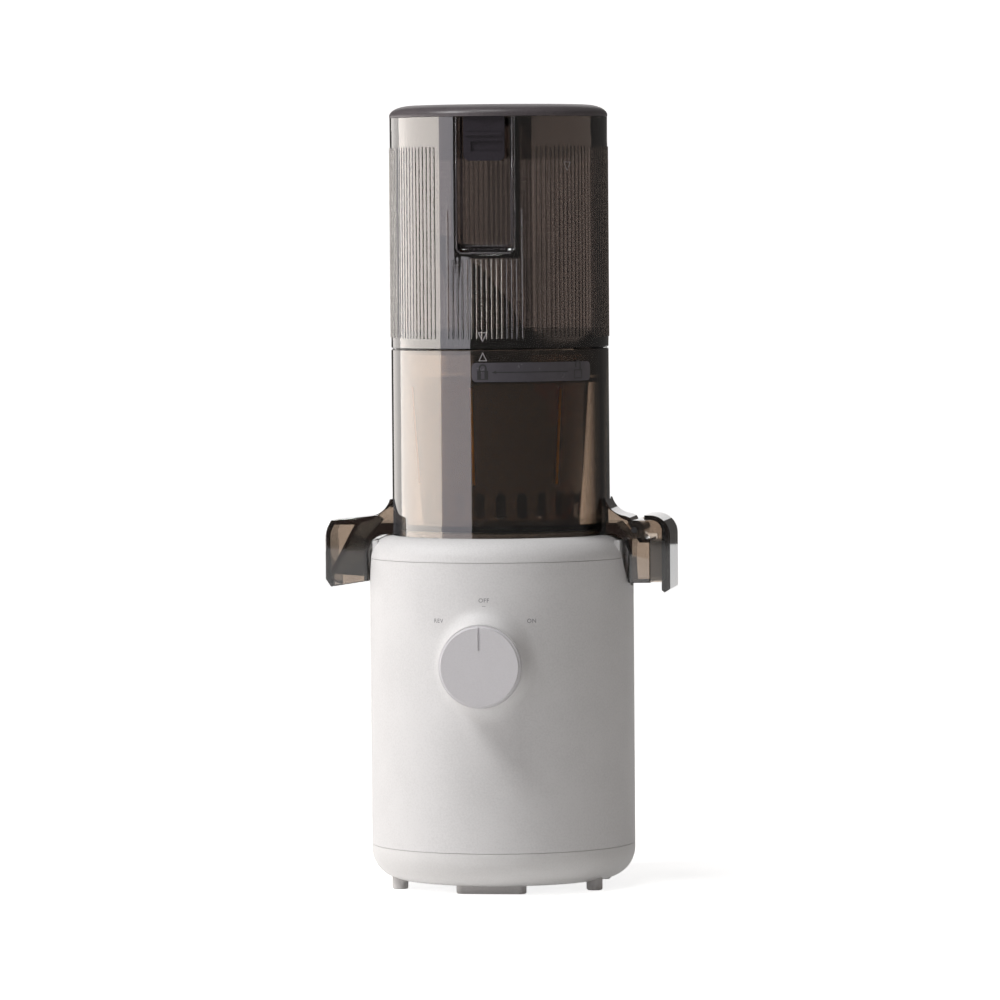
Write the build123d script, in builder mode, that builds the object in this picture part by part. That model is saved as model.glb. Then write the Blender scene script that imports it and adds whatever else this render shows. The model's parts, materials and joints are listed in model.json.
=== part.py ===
"""Cold press juicer, modelled as the separate pieces that it comes apart into.

Units are millimetres and +Z is up. The feet stand on Z = 0. The origin lies below
the middle of the machine's outline, so the upright machine axis stands a little
behind it, because the dial reaches further forward than the base reaches back.
"""
import os
from math import acos, atan2, cos, degrees, pi, radians, sin, sqrt, tan

from build123d import *

# ---------------------------------------------------------------- driving sizes
# Base
base_radius = 66.0
base_wall = 2.5
foot_height = 4.0
cover_height = 17.3
deck_height = 176.0
shoulder = 11.5
foot_corner = 15.0
# Bowl, hopper and lid
drum_wall = 2.5
bowl_height = 93.0
lid_height = 6.0
total_height = 390.0
# Spouts: how far they stand out from the base, rise over the deck and hang below it
spout_stand = 21.0
spout_width = 30.0
spout_rise = 9.5
spout_drop = 24.0
# Dial
dial_height = 114.7
dial_radius = 20.3
dial_stand = 18.0
# Cord gland at the back
gland_stand = 3.0
gland_height = 36.0
# Finger recess in the hopper
recess_width = 29.0
recess_length = 68.0
recess_depth = 10.0
# Clearances
seam = 0.2
running_fit = 0.1
moving_gap = 0.3

# ------------------------------------------------------------------ worked out
axis_y = (dial_stand - gland_stand) / 2
dial_face = base_radius + dial_stand
spout_reach = base_radius + spout_stand
spout_top = deck_height + spout_rise
spout_foot = deck_height - spout_drop
cover_top = foot_height + cover_height
shell_top = deck_height - shoulder
bowl_top = deck_height + bowl_height
hopper_top = total_height - lid_height
inner_radius = base_radius - base_wall
drum_radius = base_radius - shoulder
drum_inner = drum_radius - drum_wall
machine_axis = Axis((0, axis_y, 0), (0, 0, 1))
section = Plane((0, axis_y, 0), x_dir=(1, 0, 0), z_dir=(0, -1, 0))


def level(height, x=0.0, y=0.0):
    """Level sketch plane at a height, centred on the machine axis or beside it."""
    return Plane((x, axis_y + y, height))


def upright(y, x=0.0, height=0.0):
    """Upright sketch plane that faces forward, y behind the machine axis."""
    return Plane((x, axis_y + y, height), x_dir=(1, 0, 0), z_dir=(0, -1, 0))


def sideways(x, y=0.0, height=0.0):
    """Upright sketch plane that faces right, at x beside the machine axis."""
    return Plane((x, axis_y + y, height), x_dir=(0, 1, 0), z_dir=(1, 0, 0))


def finish(builder, name):
    """Label a finished piece and write it to its own file."""
    builder.part.label = name
    export_step(builder.part, f"parts/{name}.step")
    print(f"{name}: {len(builder.part.solids())} solids, {builder.part.volume:.0f} mm3")


os.makedirs("parts", exist_ok=True)

# ------------------------------------------------------------------------ feet
foot_radius = 4.0
foot_plug = 3.0
foot_ring = base_radius - 11
foot_turns = [radians(turn) for turn in (32.5, 147.5, 207.5, 332.5)]
foot_spots = [(foot_ring * cos(turn), foot_ring * sin(turn)) for turn in foot_turns]
front_foot_length = 35.0
front_foot_width = 7.0
front_foot_y = 19.5 - base_radius
floor_top = foot_height + base_wall

with BuildPart() as rubber_feet:
    with BuildSketch(level(0)):
        with Locations(*foot_spots):
            Circle(foot_radius)
    extrude(amount=foot_height + foot_plug)
    chamfer(rubber_feet.edges().group_by(Axis.Z)[0], length=0.6)

with BuildPart() as front_foot:
    with BuildSketch(level(0, y=front_foot_y)):
        SlotOverall(front_foot_length, front_foot_width)
    extrude(amount=foot_height)
    chamfer(front_foot.edges().group_by(Axis.Z)[0], length=0.6)
    with BuildSketch(level(foot_height, y=front_foot_y)):
        SlotOverall(front_foot_length - 6, front_foot_width - 4)
    extrude(amount=base_wall)

# ---------------------------------------------------------------- bottom cover
post_side = inner_radius - 31
post_spots = [(post_side, post_side), (-post_side, post_side), (-post_side, -post_side),
              (post_side, -post_side)]
post_radius = 4.5
post_seat = 12.0
screw_radius = 1.5
screw_head = 3.2
head_thick = 2.5
lip_height = 3.2
lip_radius = inner_radius - 0.2

with BuildPart() as bottom_cover:
    corner_in = foot_corner - 5
    corner_r = base_radius - foot_corner
    lip_inner = lip_radius - 2
    # Bosses over the feet, kept inside the rounded corner
    with BuildSketch(level(foot_height + 1)):
        with Locations(*foot_spots):
            Circle(foot_radius + 1.6)
    extrude(amount=foot_plug + 3)
    with BuildSketch(section):
        with BuildLine():
            inside_foot = foot_height + 0.2
            inside_edge = base_radius - 0.2
            inside_bend = foot_corner - 0.2
            Polyline((inside_edge, foot_height + foot_corner), (inside_edge, cover_top), (0, cover_top),
                     (0, inside_foot), (corner_r, inside_foot))
            RadiusArc((corner_r, inside_foot), (inside_edge, foot_height + foot_corner), -inside_bend)
        make_face()
    revolve(axis=machine_axis, mode=Mode.INTERSECT)
    with BuildSketch(section):
        with BuildLine():
            Polyline((lip_inner - corner_in, floor_top), (0, floor_top), (0, foot_height),
                     (corner_r, foot_height))
            RadiusArc((corner_r, foot_height), (base_radius, foot_height + foot_corner), -foot_corner)
            Polyline((base_radius, foot_height + foot_corner), (base_radius, cover_top),
                     (lip_radius, cover_top), (lip_radius, cover_top + lip_height),
                     (lip_inner, cover_top + lip_height), (lip_inner, floor_top + corner_in))
            RadiusArc((lip_inner, floor_top + corner_in), (lip_inner - corner_in, floor_top), corner_in)
        make_face()
    revolve(axis=machine_axis)
    with BuildSketch(level(floor_top)):
        with Locations(*post_spots):
            Circle(post_radius + 1.5)
    extrude(amount=post_seat - floor_top)
    with BuildSketch(level(0)):
        with Locations(*foot_spots):
            Circle(foot_radius)
    extrude(amount=foot_height + foot_plug, mode=Mode.SUBTRACT)
    with BuildSketch(level(foot_height, y=front_foot_y)):
        SlotOverall(front_foot_length - 6, front_foot_width - 4)
    extrude(amount=base_wall, mode=Mode.SUBTRACT)
    with BuildSketch(level(0)):
        with Locations(*post_spots):
            Circle(screw_head + 0.3)
    extrude(amount=post_seat - 4, mode=Mode.SUBTRACT)
    with BuildSketch(level(0)):
        with Locations(*post_spots):
            Circle(screw_radius + 0.1)
    extrude(amount=post_seat + 1, mode=Mode.SUBTRACT)
    with BuildSketch(level(foot_height)):
        with PolarLocations(24, 16):
            SlotOverall(14, 2.6)
    extrude(amount=base_wall, mode=Mode.SUBTRACT)

with BuildPart() as cover_screws:
    with BuildSketch(level(post_seat - 4 - head_thick)):
        with Locations(*post_spots):
            Circle(screw_head)
    extrude(amount=head_thick)
    with BuildSketch(level(post_seat - 4)):
        with Locations(*post_spots):
            Circle(screw_radius)
    extrude(amount=18)

# ------------------------------------------------------------------ base shell
post_top = 60.0
post_rib = 20.0
saddle_radius = spout_width / 2 + 5
saddle_height = deck_height - 6
saddle_floor = base_radius - 4
dial_plane = Plane((0, axis_y, dial_height), x_dir=(1, 0, 0), z_dir=(0, 0, 1))
dial_axis = Axis((0, axis_y, dial_height), (0, 1, 0))
dial_pocket = 5 - base_radius
dial_plate = dial_pocket + 3
dial_disc = 4.0
dial_hub = 6.5
collar_radius = dial_radius + 0.3
collar_front = dial_disc - dial_face
collar_wall = 2.5
collar_flare = 9.0
neck_radius = 4.5
board_height = 62.5
board_spots = [(-19, -17.5), (19, -17.5), (-19, 17.5), (19, 17.5)]
board_face = 19 - base_radius

with BuildPart() as base_shell:
    with BuildSketch(level(cover_top + seam)):
        Circle(base_radius)
        Circle(inner_radius, mode=Mode.SUBTRACT)
    extrude(amount=shell_top - cover_top - seam)
    # Collar that carries the dial, flowing into the shell in one wide flare
    with BuildSketch(upright(dial_plate, height=dial_height)):
        Circle(collar_radius)
    extrude(amount=dial_plate - collar_front)
    collar_root = [edge for edge in base_shell.edges()
                   if all(abs(sqrt(p.X**2 + (p.Y - axis_y)**2) - base_radius) < 0.01
                          and abs(sqrt(p.X**2 + (p.Z - dial_height)**2) - collar_radius) < 0.01
                          for p in (edge @ 0.2, edge @ 0.7))]
    fillet(collar_root, radius=collar_flare)
    # Screw posts, each tied to the wall by a rib
    with BuildSketch(level(post_seat)):
        with Locations(*post_spots):
            Circle(post_radius)
    extrude(amount=post_top - post_seat)
    with BuildSketch(level(cover_top + lip_height + 2)):
        with PolarLocations(inner_radius + 0.5 - post_rib / 2, len(post_spots), start_angle=45):
            Rectangle(post_rib, base_wall)
    extrude(amount=post_top - cover_top - lip_height - 6)
    with BuildSketch(level(post_seat)):
        with Locations(*post_spots):
            Circle(screw_radius + 0.05)
    extrude(amount=16, mode=Mode.SUBTRACT)
    # Hollow of the collar behind the dial, with the switch's neck hole in its floor
    with BuildSketch(upright(dial_pocket, height=dial_height)):
        Circle(collar_radius - collar_wall)
    extrude(amount=dial_pocket - collar_front, mode=Mode.SUBTRACT)
    with BuildSketch(upright(dial_plate + 1, height=dial_height)):
        Circle(neck_radius + 0.1)
    extrude(amount=6, mode=Mode.SUBTRACT)
    # Bosses for the control board
    with BuildSketch(upright(board_face, height=board_height)):
        with Locations(*board_spots):
            Circle(3)
    extrude(amount=inner_radius - 2 + board_face)
    # Saddles that the spouts hang in
    for side in (1, -1):
        with BuildSketch(sideways(side * (saddle_floor - base_wall), height=saddle_height)):
            Circle(saddle_radius + 1.5)
            with Locations((0, saddle_radius + shell_top - saddle_height)):
                Rectangle(3 * saddle_radius, 2 * saddle_radius, mode=Mode.SUBTRACT)
        extrude(amount=side * base_wall)
        with BuildSketch(sideways(side * saddle_floor, height=saddle_height)):
            Circle(saddle_radius)
        extrude(amount=side * 10, mode=Mode.SUBTRACT)
    # Hole for the cord gland
    with BuildSketch(upright(inner_radius - 4, height=gland_height)):
        Circle(5.0)
    extrude(amount=-10, mode=Mode.SUBTRACT)

with BuildPart() as cord_gland:
    with BuildSketch(upright(inner_radius - 2.5, height=gland_height)):
        Circle(6.5)
    extrude(amount=-2.0)
    with BuildSketch(upright(inner_radius - 2.5, height=gland_height)):
        Circle(4.9)
    extrude(amount=-(2.5 + base_wall + gland_stand))
    with BuildSketch(upright(inner_radius - 4, height=gland_height)):
        Circle(3.4)
    extrude(amount=-12, mode=Mode.SUBTRACT)

# ------------------------------------------------------------------- top cover
deck_thick = 2.5
plateau_radius = drum_inner - 0.5
plateau_height = 2.0
ear_spots = [(-36, -18), (36, -18), (36, 22), (-36, 22)]
ear_radius = 5.0
gearbox_top = deck_height - 44
gearbox_rim = gearbox_top - 4
gearbox_floor = gearbox_top - 40
shaft_radius = 6.0
seal_radius = 10.0
tube_bore = 8.5

with BuildPart() as top_cover:
    mid = shoulder * sqrt(0.5)
    hollow = shoulder - deck_thick
    mid_in = hollow * sqrt(0.5)
    roof = deck_height - deck_thick
    with BuildSketch(section):
        with BuildLine():
            Polyline((drum_radius, deck_height), (0, deck_height), (0, shell_top + seam),
                     (base_radius, shell_top + seam))
            ThreePointArc((base_radius, shell_top + seam), (drum_radius + mid, shell_top + mid),
                          (drum_radius, deck_height))
        make_face()
    revolve(axis=machine_axis)
    with BuildSketch(level(deck_height)):
        Circle(plateau_radius)
    extrude(amount=plateau_height)
    with BuildSketch(section):
        with BuildLine():
            Polyline((drum_radius, roof), (0, roof), (0, shell_top), (drum_radius + hollow, shell_top))
            ThreePointArc((drum_radius + hollow, shell_top), (drum_radius + mid_in, shell_top + mid_in),
                          (drum_radius, roof))
        make_face()
    revolve(axis=machine_axis, mode=Mode.SUBTRACT)
    # Lip that centres the cover in the shell
    with BuildSketch(level(shell_top - lip_height)):
        Circle(lip_radius)
        Circle(lip_radius - 2, mode=Mode.SUBTRACT)
        for side in (1, -1):
            with Locations((side * lip_radius, 0)):
                Rectangle(12, 2 * saddle_radius + 8, mode=Mode.SUBTRACT)
    extrude(amount=lip_height + 3)
    # Bosses that the gearbox hangs from
    with BuildSketch(level(gearbox_top)):
        with Locations(*ear_spots):
            Circle(ear_radius)
    extrude(amount=roof - gearbox_top)
    with BuildSketch(level(gearbox_top)):
        with Locations(*ear_spots):
            Circle(screw_radius + 0.05)
    extrude(amount=18, mode=Mode.SUBTRACT)
    # Sleeve for the upper bush and the deck seal
    with BuildSketch(level(roof - 10)):
        Circle(seal_radius + 3)
    extrude(amount=10)
    with BuildSketch(level(roof - 10)):
        Circle(seal_radius)
    extrude(amount=20, mode=Mode.SUBTRACT)
    # Saddles that the spouts hang in
    for side in (1, -1):
        with BuildSketch(sideways(side * (saddle_floor - base_wall), height=saddle_height)):
            Circle(saddle_radius + 1.5)
            with Locations((0, shell_top + seam - saddle_height - 2 * saddle_radius)):
                Rectangle(3 * saddle_radius, 4 * saddle_radius, mode=Mode.SUBTRACT)
            with Locations((0, saddle_radius + roof - saddle_height)):
                Rectangle(3 * saddle_radius, 2 * saddle_radius, mode=Mode.SUBTRACT)
        extrude(amount=side * base_wall)
        with BuildSketch(sideways(side * saddle_floor, height=saddle_height)):
            Circle(saddle_radius)
        extrude(amount=side * 10, mode=Mode.SUBTRACT)

with BuildPart() as deck_seal:
    with BuildSketch(section):
        with BuildLine():
            Polyline((shaft_radius + running_fit, deck_height - 4), (seal_radius, deck_height - 4),
                     (seal_radius, deck_height + plateau_height),
                     (tube_bore, deck_height + plateau_height),
                     (shaft_radius + running_fit, deck_height + plateau_height + 1.5), close=True)
        make_face()
    revolve(axis=machine_axis)

# ----------------------------------------------------------------------- gears
output_teeth = 44
output_pinion_teeth = 12
output_module = 1.25
wheel_teeth = 44
motor_pinion_teeth = 10
wheel_module = 1.0
pressure_angle = radians(25)
backlash = 0.3
output_spacing = output_module * (output_teeth + output_pinion_teeth) / 2
wheel_spacing = wheel_module * (wheel_teeth + motor_pinion_teeth) / 2
compound_y = output_spacing
motor_y = output_spacing - wheel_spacing
output_tip = output_module * (output_teeth / 2 + 0.95)
wheel_tip = wheel_module * (wheel_teeth / 2 + 0.95)
output_gear_foot = gearbox_floor + 22
gear_width = 11.0
wheel_foot = gearbox_floor + 8
wheel_width = 9.0
key_width = 2.9
key_depth = 3.0


def involute(angle):
    """Involute function of a pressure angle."""
    return tan(angle) - angle


def polar(radius, angle):
    """Point at a radius and an angle in radians."""
    return (radius * cos(angle), radius * sin(angle))


def gear_outline(teeth, module, turn=0.0):
    """Face of a spur gear with involute flanks, its first tooth at the turn angle."""
    pitch = module * teeth / 2
    base = pitch * cos(pressure_angle)
    tip = pitch + 0.95 * module
    root = pitch - 1.2 * module
    start = max(base, root)
    half = pi / (2 * teeth) - backlash / (4 * pitch) + involute(pressure_angle)
    middle = (start + tip) / 2

    def flank(radius):
        return half - involute(acos(min(1.0, base / radius)))

    with BuildSketch() as outline:
        with BuildLine():
            for tooth in range(teeth):
                here = turn + 2 * pi * tooth / teeth
                after = here + 2 * pi / teeth
                if root < start:
                    Line(polar(root, here - flank(start)), polar(start, here - flank(start)))
                ThreePointArc(polar(start, here - flank(start)), polar(middle, here - flank(middle)),
                              polar(tip, here - flank(tip)))
                Line(polar(tip, here - flank(tip)), polar(tip, here + flank(tip)))
                ThreePointArc(polar(tip, here + flank(tip)), polar(middle, here + flank(middle)),
                              polar(start, here + flank(start)))
                if root < start:
                    Line(polar(start, here + flank(start)), polar(root, here + flank(start)))
                Line(polar(root, here + flank(start)), polar(root, after - flank(start)))
        make_face()
    return outline.sketch


axle_radius = 2.5
axle_seat = gearbox_floor + 1.0

with BuildPart() as output_gear:
    with BuildSketch(level(output_gear_foot)):
        add(gear_outline(output_teeth, output_module))
        Circle(shaft_radius, mode=Mode.SUBTRACT)
        with Locations((0, shaft_radius)):
            Rectangle(key_width, key_depth, mode=Mode.SUBTRACT)
    extrude(amount=gear_width)
    with BuildSketch(level(output_gear_foot)):
        with PolarLocations(17, 6):
            Circle(4)
    extrude(amount=gear_width, mode=Mode.SUBTRACT)

with BuildPart() as compound_gear:
    with BuildSketch(level(wheel_foot, y=compound_y)):
        add(gear_outline(wheel_teeth, wheel_module))
    extrude(amount=wheel_width)
    with BuildSketch(level(wheel_foot + wheel_width, y=compound_y)):
        add(gear_outline(output_pinion_teeth, output_module, turn=pi / output_pinion_teeth))
    extrude(amount=output_gear_foot + gear_width + 1 - wheel_foot - wheel_width)
    with BuildSketch(level(gearbox_floor + 3.2, y=compound_y)):
        Circle(axle_radius + 2.5)
    extrude(amount=wheel_foot - gearbox_floor - 3.2)
    with BuildSketch(level(gearbox_floor, y=compound_y)):
        Circle(axle_radius + running_fit)
    extrude(amount=40, mode=Mode.SUBTRACT)

with BuildPart() as gear_axle:
    with BuildSketch(level(axle_seat, y=compound_y)):
        Circle(axle_radius)
    extrude(amount=gearbox_top - 1.5 - axle_seat)

# -------------------------------------------------------------------- gearbox
gearbox_wall = 2.5
motor_neck = 8.0
plate = 3.0
bush_radius = 8.5
ear_foot = gearbox_rim - 10
motor_screw_spots = [(-14, 0), (14, 0)]


def gearbox_outline(margin):
    """Plan of the gearbox: two round ends, as far outside the gears as the margin."""
    with BuildSketch() as outline:
        Circle(output_tip + margin)
        with Locations((0, compound_y)):
            Circle(wheel_tip + margin)
    return outline.sketch


def ear_webs():
    """Plan of the screw ears and the webs that tie them to the gearbox wall."""
    with BuildSketch() as webs:
        with Locations(*ear_spots):
            Circle(ear_radius)
        for x, y in ear_spots:
            with Locations((0.82 * x, 0.82 * y)):
                Rectangle(13, 8, rotation=degrees(atan2(y, x)))
    return webs.sketch


with BuildPart() as gearbox_housing:
    with BuildSketch(level(gearbox_floor)):
        add(gearbox_outline(1.0 + gearbox_wall))
    extrude(amount=gearbox_rim - gearbox_floor)
    with BuildSketch(level(ear_foot)):
        add(ear_webs())
    extrude(amount=gearbox_rim - ear_foot)
    with BuildSketch(level(gearbox_floor + plate)):
        add(gearbox_outline(1.0))
    extrude(amount=gearbox_rim - gearbox_floor - plate, mode=Mode.SUBTRACT)
    with BuildSketch(level(ear_foot)):
        with Locations(*ear_spots):
            Circle(screw_radius + 0.1)
    extrude(amount=gearbox_rim - ear_foot, mode=Mode.SUBTRACT)
    # Seat of the axle and the opening for the motor's neck
    with BuildSketch(level(axle_seat, y=compound_y)):
        Circle(axle_radius)
    extrude(amount=10, mode=Mode.SUBTRACT)
    with BuildSketch(level(gearbox_floor, y=motor_y)):
        Circle(motor_neck + 0.1)
        with Locations(*motor_screw_spots):
            Circle(screw_radius + 0.1)
    extrude(amount=10, mode=Mode.SUBTRACT)

with BuildPart() as gearbox_cover:
    with BuildSketch(level(gearbox_rim)):
        add(gearbox_outline(1.0 + gearbox_wall))
        add(ear_webs())
    extrude(amount=gearbox_top - gearbox_rim)
    with BuildSketch(level(gearbox_top)):
        Circle(bush_radius + 3)
    extrude(amount=8)
    with BuildSketch(level(gearbox_rim)):
        Circle(bush_radius)
        with Locations(*ear_spots):
            Circle(screw_radius + 0.1)
    extrude(amount=14, mode=Mode.SUBTRACT)
    with BuildSketch(level(gearbox_rim, y=compound_y)):
        Circle(axle_radius)
    extrude(amount=gearbox_top - gearbox_rim - 1.5, mode=Mode.SUBTRACT)

with BuildPart() as gearbox_screws:
    with BuildSketch(level(ear_foot - head_thick)):
        with Locations(*ear_spots):
            Circle(screw_head)
    extrude(amount=head_thick)
    with BuildSketch(level(ear_foot)):
        with Locations(*ear_spots):
            Circle(screw_radius)
    extrude(amount=gearbox_top - ear_foot + 16)

with BuildPart() as shaft_bushes:
    with BuildSketch(level(gearbox_rim)):
        Circle(bush_radius)
        Circle(shaft_radius + running_fit, mode=Mode.SUBTRACT)
    extrude(amount=12)
    with BuildSketch(level(roof - 10)):
        Circle(seal_radius)
        Circle(shaft_radius + running_fit, mode=Mode.SUBTRACT)
    extrude(amount=7)

# ----------------------------------------------------------------- drive shaft
hex_across = 10.0
shaft_top = deck_height + 30

with BuildPart() as drive_shaft:
    with BuildSketch(level(output_gear_foot - 1)):
        Circle(shaft_radius)
        with Locations((0, shaft_radius)):
            Rectangle(key_width, key_depth, mode=Mode.SUBTRACT)
    extrude(amount=gear_width + 1.5)
    with BuildSketch(level(output_gear_foot + gear_width + 0.5)):
        Circle(shaft_radius)
    extrude(amount=deck_height + 4 - output_gear_foot - gear_width - 0.5)
    with BuildSketch(level(output_gear_foot + gear_width + 0.4)):
        Circle(shaft_radius + 1.6)
    extrude(amount=gearbox_rim - output_gear_foot - gear_width - 0.6)
    with BuildSketch(level(deck_height + 4)):
        RegularPolygon(hex_across / 2, 6, major_radius=False)
    extrude(amount=shaft_top - deck_height - 4)
    chamfer(drive_shaft.edges().group_by(Axis.Z)[-1], length=1.0)

with BuildPart() as gear_key:
    with BuildSketch(level(output_gear_foot)):
        with Locations((0, shaft_radius)):
            Rectangle(key_width, key_depth)
    extrude(amount=gear_width)

# ----------------------------------------------------------------------- motor
motor_radius = 32.0
motor_foot = 26.0
can_wall = 1.6
neck_top = gearbox_floor + 4
rotor_shaft = 2.5
rotor_foot = motor_foot - 14
rotor_radius = 18.5
air_gap = 0.5
can_height = gearbox_floor - motor_foot
stack_foot = motor_foot + 0.21 * can_height
stack_top = motor_foot + 0.72 * can_height
coil_height = 0.09 * can_height
fan_foot = rotor_foot + 1
fan_radius = 24.0
fan_blades = 9

with BuildPart() as motor_can:
    with BuildSketch(level(motor_foot, y=motor_y)):
        Circle(motor_radius)
    extrude(amount=gearbox_floor - motor_foot)
    with BuildSketch(level(gearbox_floor, y=motor_y)):
        Circle(motor_neck)
    extrude(amount=neck_top - gearbox_floor)
    with BuildSketch(level(motor_foot + 3, y=motor_y)):
        Circle(motor_radius - can_wall)
    extrude(amount=gearbox_floor - motor_foot - 6, mode=Mode.SUBTRACT)
    with BuildSketch(level(motor_foot, y=motor_y)):
        Circle(rotor_shaft + running_fit)
        with PolarLocations(18, 6):
            Circle(4.5)
    extrude(amount=4, mode=Mode.SUBTRACT)
    with BuildSketch(level(gearbox_floor - 4, y=motor_y)):
        Circle(rotor_shaft + running_fit)
    extrude(amount=10, mode=Mode.SUBTRACT)
    with BuildSketch(level(gearbox_floor - 4, y=motor_y)):
        with Locations(*motor_screw_spots):
            Circle(screw_radius + 0.05)
    extrude(amount=10, mode=Mode.SUBTRACT)

with BuildPart() as motor_stator:
    with BuildSketch(level(stack_foot, y=motor_y)):
        Circle(motor_radius - can_wall)
        Circle(rotor_radius + air_gap, mode=Mode.SUBTRACT)
    extrude(amount=stack_top - stack_foot)

with BuildPart() as field_coils:
    for foot in (stack_foot - coil_height, stack_top):
        with BuildSketch(level(foot, y=motor_y)):
            Circle(motor_radius - 4)
            Circle(rotor_radius + 2, mode=Mode.SUBTRACT)
        extrude(amount=coil_height)

with BuildPart() as motor_rotor:
    with BuildSketch(level(rotor_foot, y=motor_y)):
        Circle(rotor_shaft)
    extrude(amount=wheel_foot + wheel_width + 1 - rotor_foot)
    with BuildSketch(level(stack_foot, y=motor_y)):
        Circle(rotor_radius)
    extrude(amount=stack_top - stack_foot)
    with BuildSketch(level(stack_top + coil_height / 2, y=motor_y)):
        Circle(rotor_radius / 2)
    extrude(amount=1.3 * coil_height)

with BuildPart() as motor_pinion:
    with BuildSketch(level(wheel_foot - 1, y=motor_y)):
        add(gear_outline(motor_pinion_teeth, wheel_module))
        Circle(rotor_shaft, mode=Mode.SUBTRACT)
    extrude(amount=wheel_width + 2)

with BuildPart() as motor_fan:
    with BuildSketch(level(fan_foot, y=motor_y)):
        Circle(fan_radius)
        Circle(rotor_shaft, mode=Mode.SUBTRACT)
    extrude(amount=1.5)
    with BuildSketch(level(fan_foot + 1.5, y=motor_y)):
        Circle(fan_radius / 4)
        Circle(rotor_shaft, mode=Mode.SUBTRACT)
        with PolarLocations(0.6 * fan_radius, fan_blades):
            Rectangle(0.75 * fan_radius, 1.4)
    extrude(amount=7)

with BuildPart() as motor_screws:
    with BuildSketch(level(gearbox_floor + plate, y=motor_y)):
        with Locations(*motor_screw_spots):
            Circle(screw_head)
    extrude(amount=2)
    with BuildSketch(level(gearbox_floor - 2.9, y=motor_y)):
        with Locations(*motor_screw_spots):
            Circle(screw_radius)
    extrude(amount=plate + 2.9)

# ------------------------------------------------------- dial, switch and board
spindle_radius = 3.0
switch_back = dial_plate + 18
switch_front = dial_plate
switch_neck = dial_plate - 6
spindle_flat = dial_pocket - 3.8
dial_skin = 2.0
dial_wall = 2.0
dial_edge = 1.2
dial_foot = collar_front - moving_gap
pointer_length = 12.5
pointer_width = 1.3

with BuildPart() as dial:
    with BuildSketch(dial_plane):
        with BuildLine():
            Polyline((0, -dial_face), (dial_radius - dial_edge, -dial_face))
            RadiusArc((dial_radius - dial_edge, -dial_face), (dial_radius, dial_edge - dial_face),
                      dial_edge)
            Polyline((dial_radius, dial_edge - dial_face), (dial_radius, dial_foot),
                     (dial_radius - dial_wall, dial_foot),
                     (dial_radius - dial_wall - 0.4, dial_skin - dial_face),
                     (dial_hub, dial_skin - dial_face), (dial_hub, dial_pocket - 4), (0, dial_pocket - 4),
                     (0, -dial_face))
        make_face()
    revolve(axis=dial_axis)
    with BuildSketch(upright(-dial_face, height=dial_height)):
        with Locations((0, dial_radius - pointer_length / 2 + 0.25)):
            SlotOverall(pointer_length, pointer_width, rotation=90)
    extrude(amount=-0.8, mode=Mode.SUBTRACT)
    with BuildSketch(upright(dial_pocket - 4, height=dial_height)):
        Circle(spindle_radius)
        with Locations((0, spindle_radius)):
            Rectangle(6, 1.2, mode=Mode.SUBTRACT)
    extrude(amount=14, mode=Mode.SUBTRACT)

with BuildPart() as switch_spindle:
    with BuildSketch(upright(switch_back - 10, height=dial_height)):
        Circle(spindle_radius)
    extrude(amount=switch_back - 10 - spindle_flat)
    with BuildSketch(upright(spindle_flat, height=dial_height)):
        Circle(spindle_radius)
        with Locations((0, spindle_radius)):
            Rectangle(6, 1.2, mode=Mode.SUBTRACT)
    extrude(amount=13.7)

with BuildPart() as rotary_switch:
    with BuildSketch(upright(switch_back, height=dial_height)):
        RectangleRounded(24, 22, 2)
    extrude(amount=switch_back - switch_front)
    with BuildSketch(upright(switch_front, height=dial_height)):
        Circle(neck_radius)
    extrude(amount=switch_front - switch_neck)
    with BuildSketch(upright(switch_back - 8, height=dial_height)):
        Circle(spindle_radius + running_fit)
    extrude(amount=20, mode=Mode.SUBTRACT)
    with BuildSketch(upright(switch_back, height=dial_height)):
        with Locations((-7, 0), (0, 6), (7, 0)):
            Rectangle(4.8, 0.8)
    extrude(amount=-4)

with BuildPart() as switch_nut:
    with BuildSketch(upright(dial_pocket, height=dial_height)):
        RegularPolygon(6.5, 6, major_radius=False)
        Circle(neck_radius, mode=Mode.SUBTRACT)
    extrude(amount=2.5)

with BuildPart() as control_board:
    with BuildSketch(upright(board_face, height=board_height)):
        RectangleRounded(46, 44, 1.5)
    extrude(amount=-1.6)

with BuildPart() as capacitor:
    with BuildSketch(upright(board_face + 1.6, x=-8, height=board_height + 7.5)):
        Rectangle(22, 16)
    extrude(amount=-9)
    fillet(capacitor.edges().filter_by(Axis.Y), radius=1.5)

# ------------------------------------------------------------------------ bowl
floor_foot = deck_height + 3
floor_thick = 3.0
bowl_floor = floor_foot + floor_thick
tube_radius = 11.0
tube_top = bowl_floor + 8
lug_angle = 65.7
lug_count = 4
lug_arc = 30.0
bowl_lug_foot = bowl_top - 6.4
bowl_lug_top = bowl_top - 3
skirt_radius = drum_inner - 3.2
pivot_x = spout_reach - 18
pivot_z = deck_height + 2.6
pin_radius = 1.5
boss_radius = 4.7
mouth_x = spout_reach - 10.5
duct_top = deck_height - 2
channel_half = spout_width / 2 - 2
neck_root = deck_height + 18
outlet_top = deck_height + 14
spout_back = base_radius - 0.5
spout_skin = 2.0
spout_round = 0.8
rim_groove = 0.5
# Underside of both spouts, from the saddle wall up over the shoulder and in below the drum
spout_under = [(spout_back, saddle_height - 2), (spout_back - 2.3, deck_height - 2.6),
               (saddle_floor - 3, deck_height + moving_gap), (drum_inner - 4, deck_height + moving_gap),
               (drum_inner - 4, neck_root), (drum_radius - 0.3, neck_root)]
neck_bend = (drum_radius + 3, deck_height + 12.5)
shoulder_end = (spout_back - 1.5, spout_top)
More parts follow.
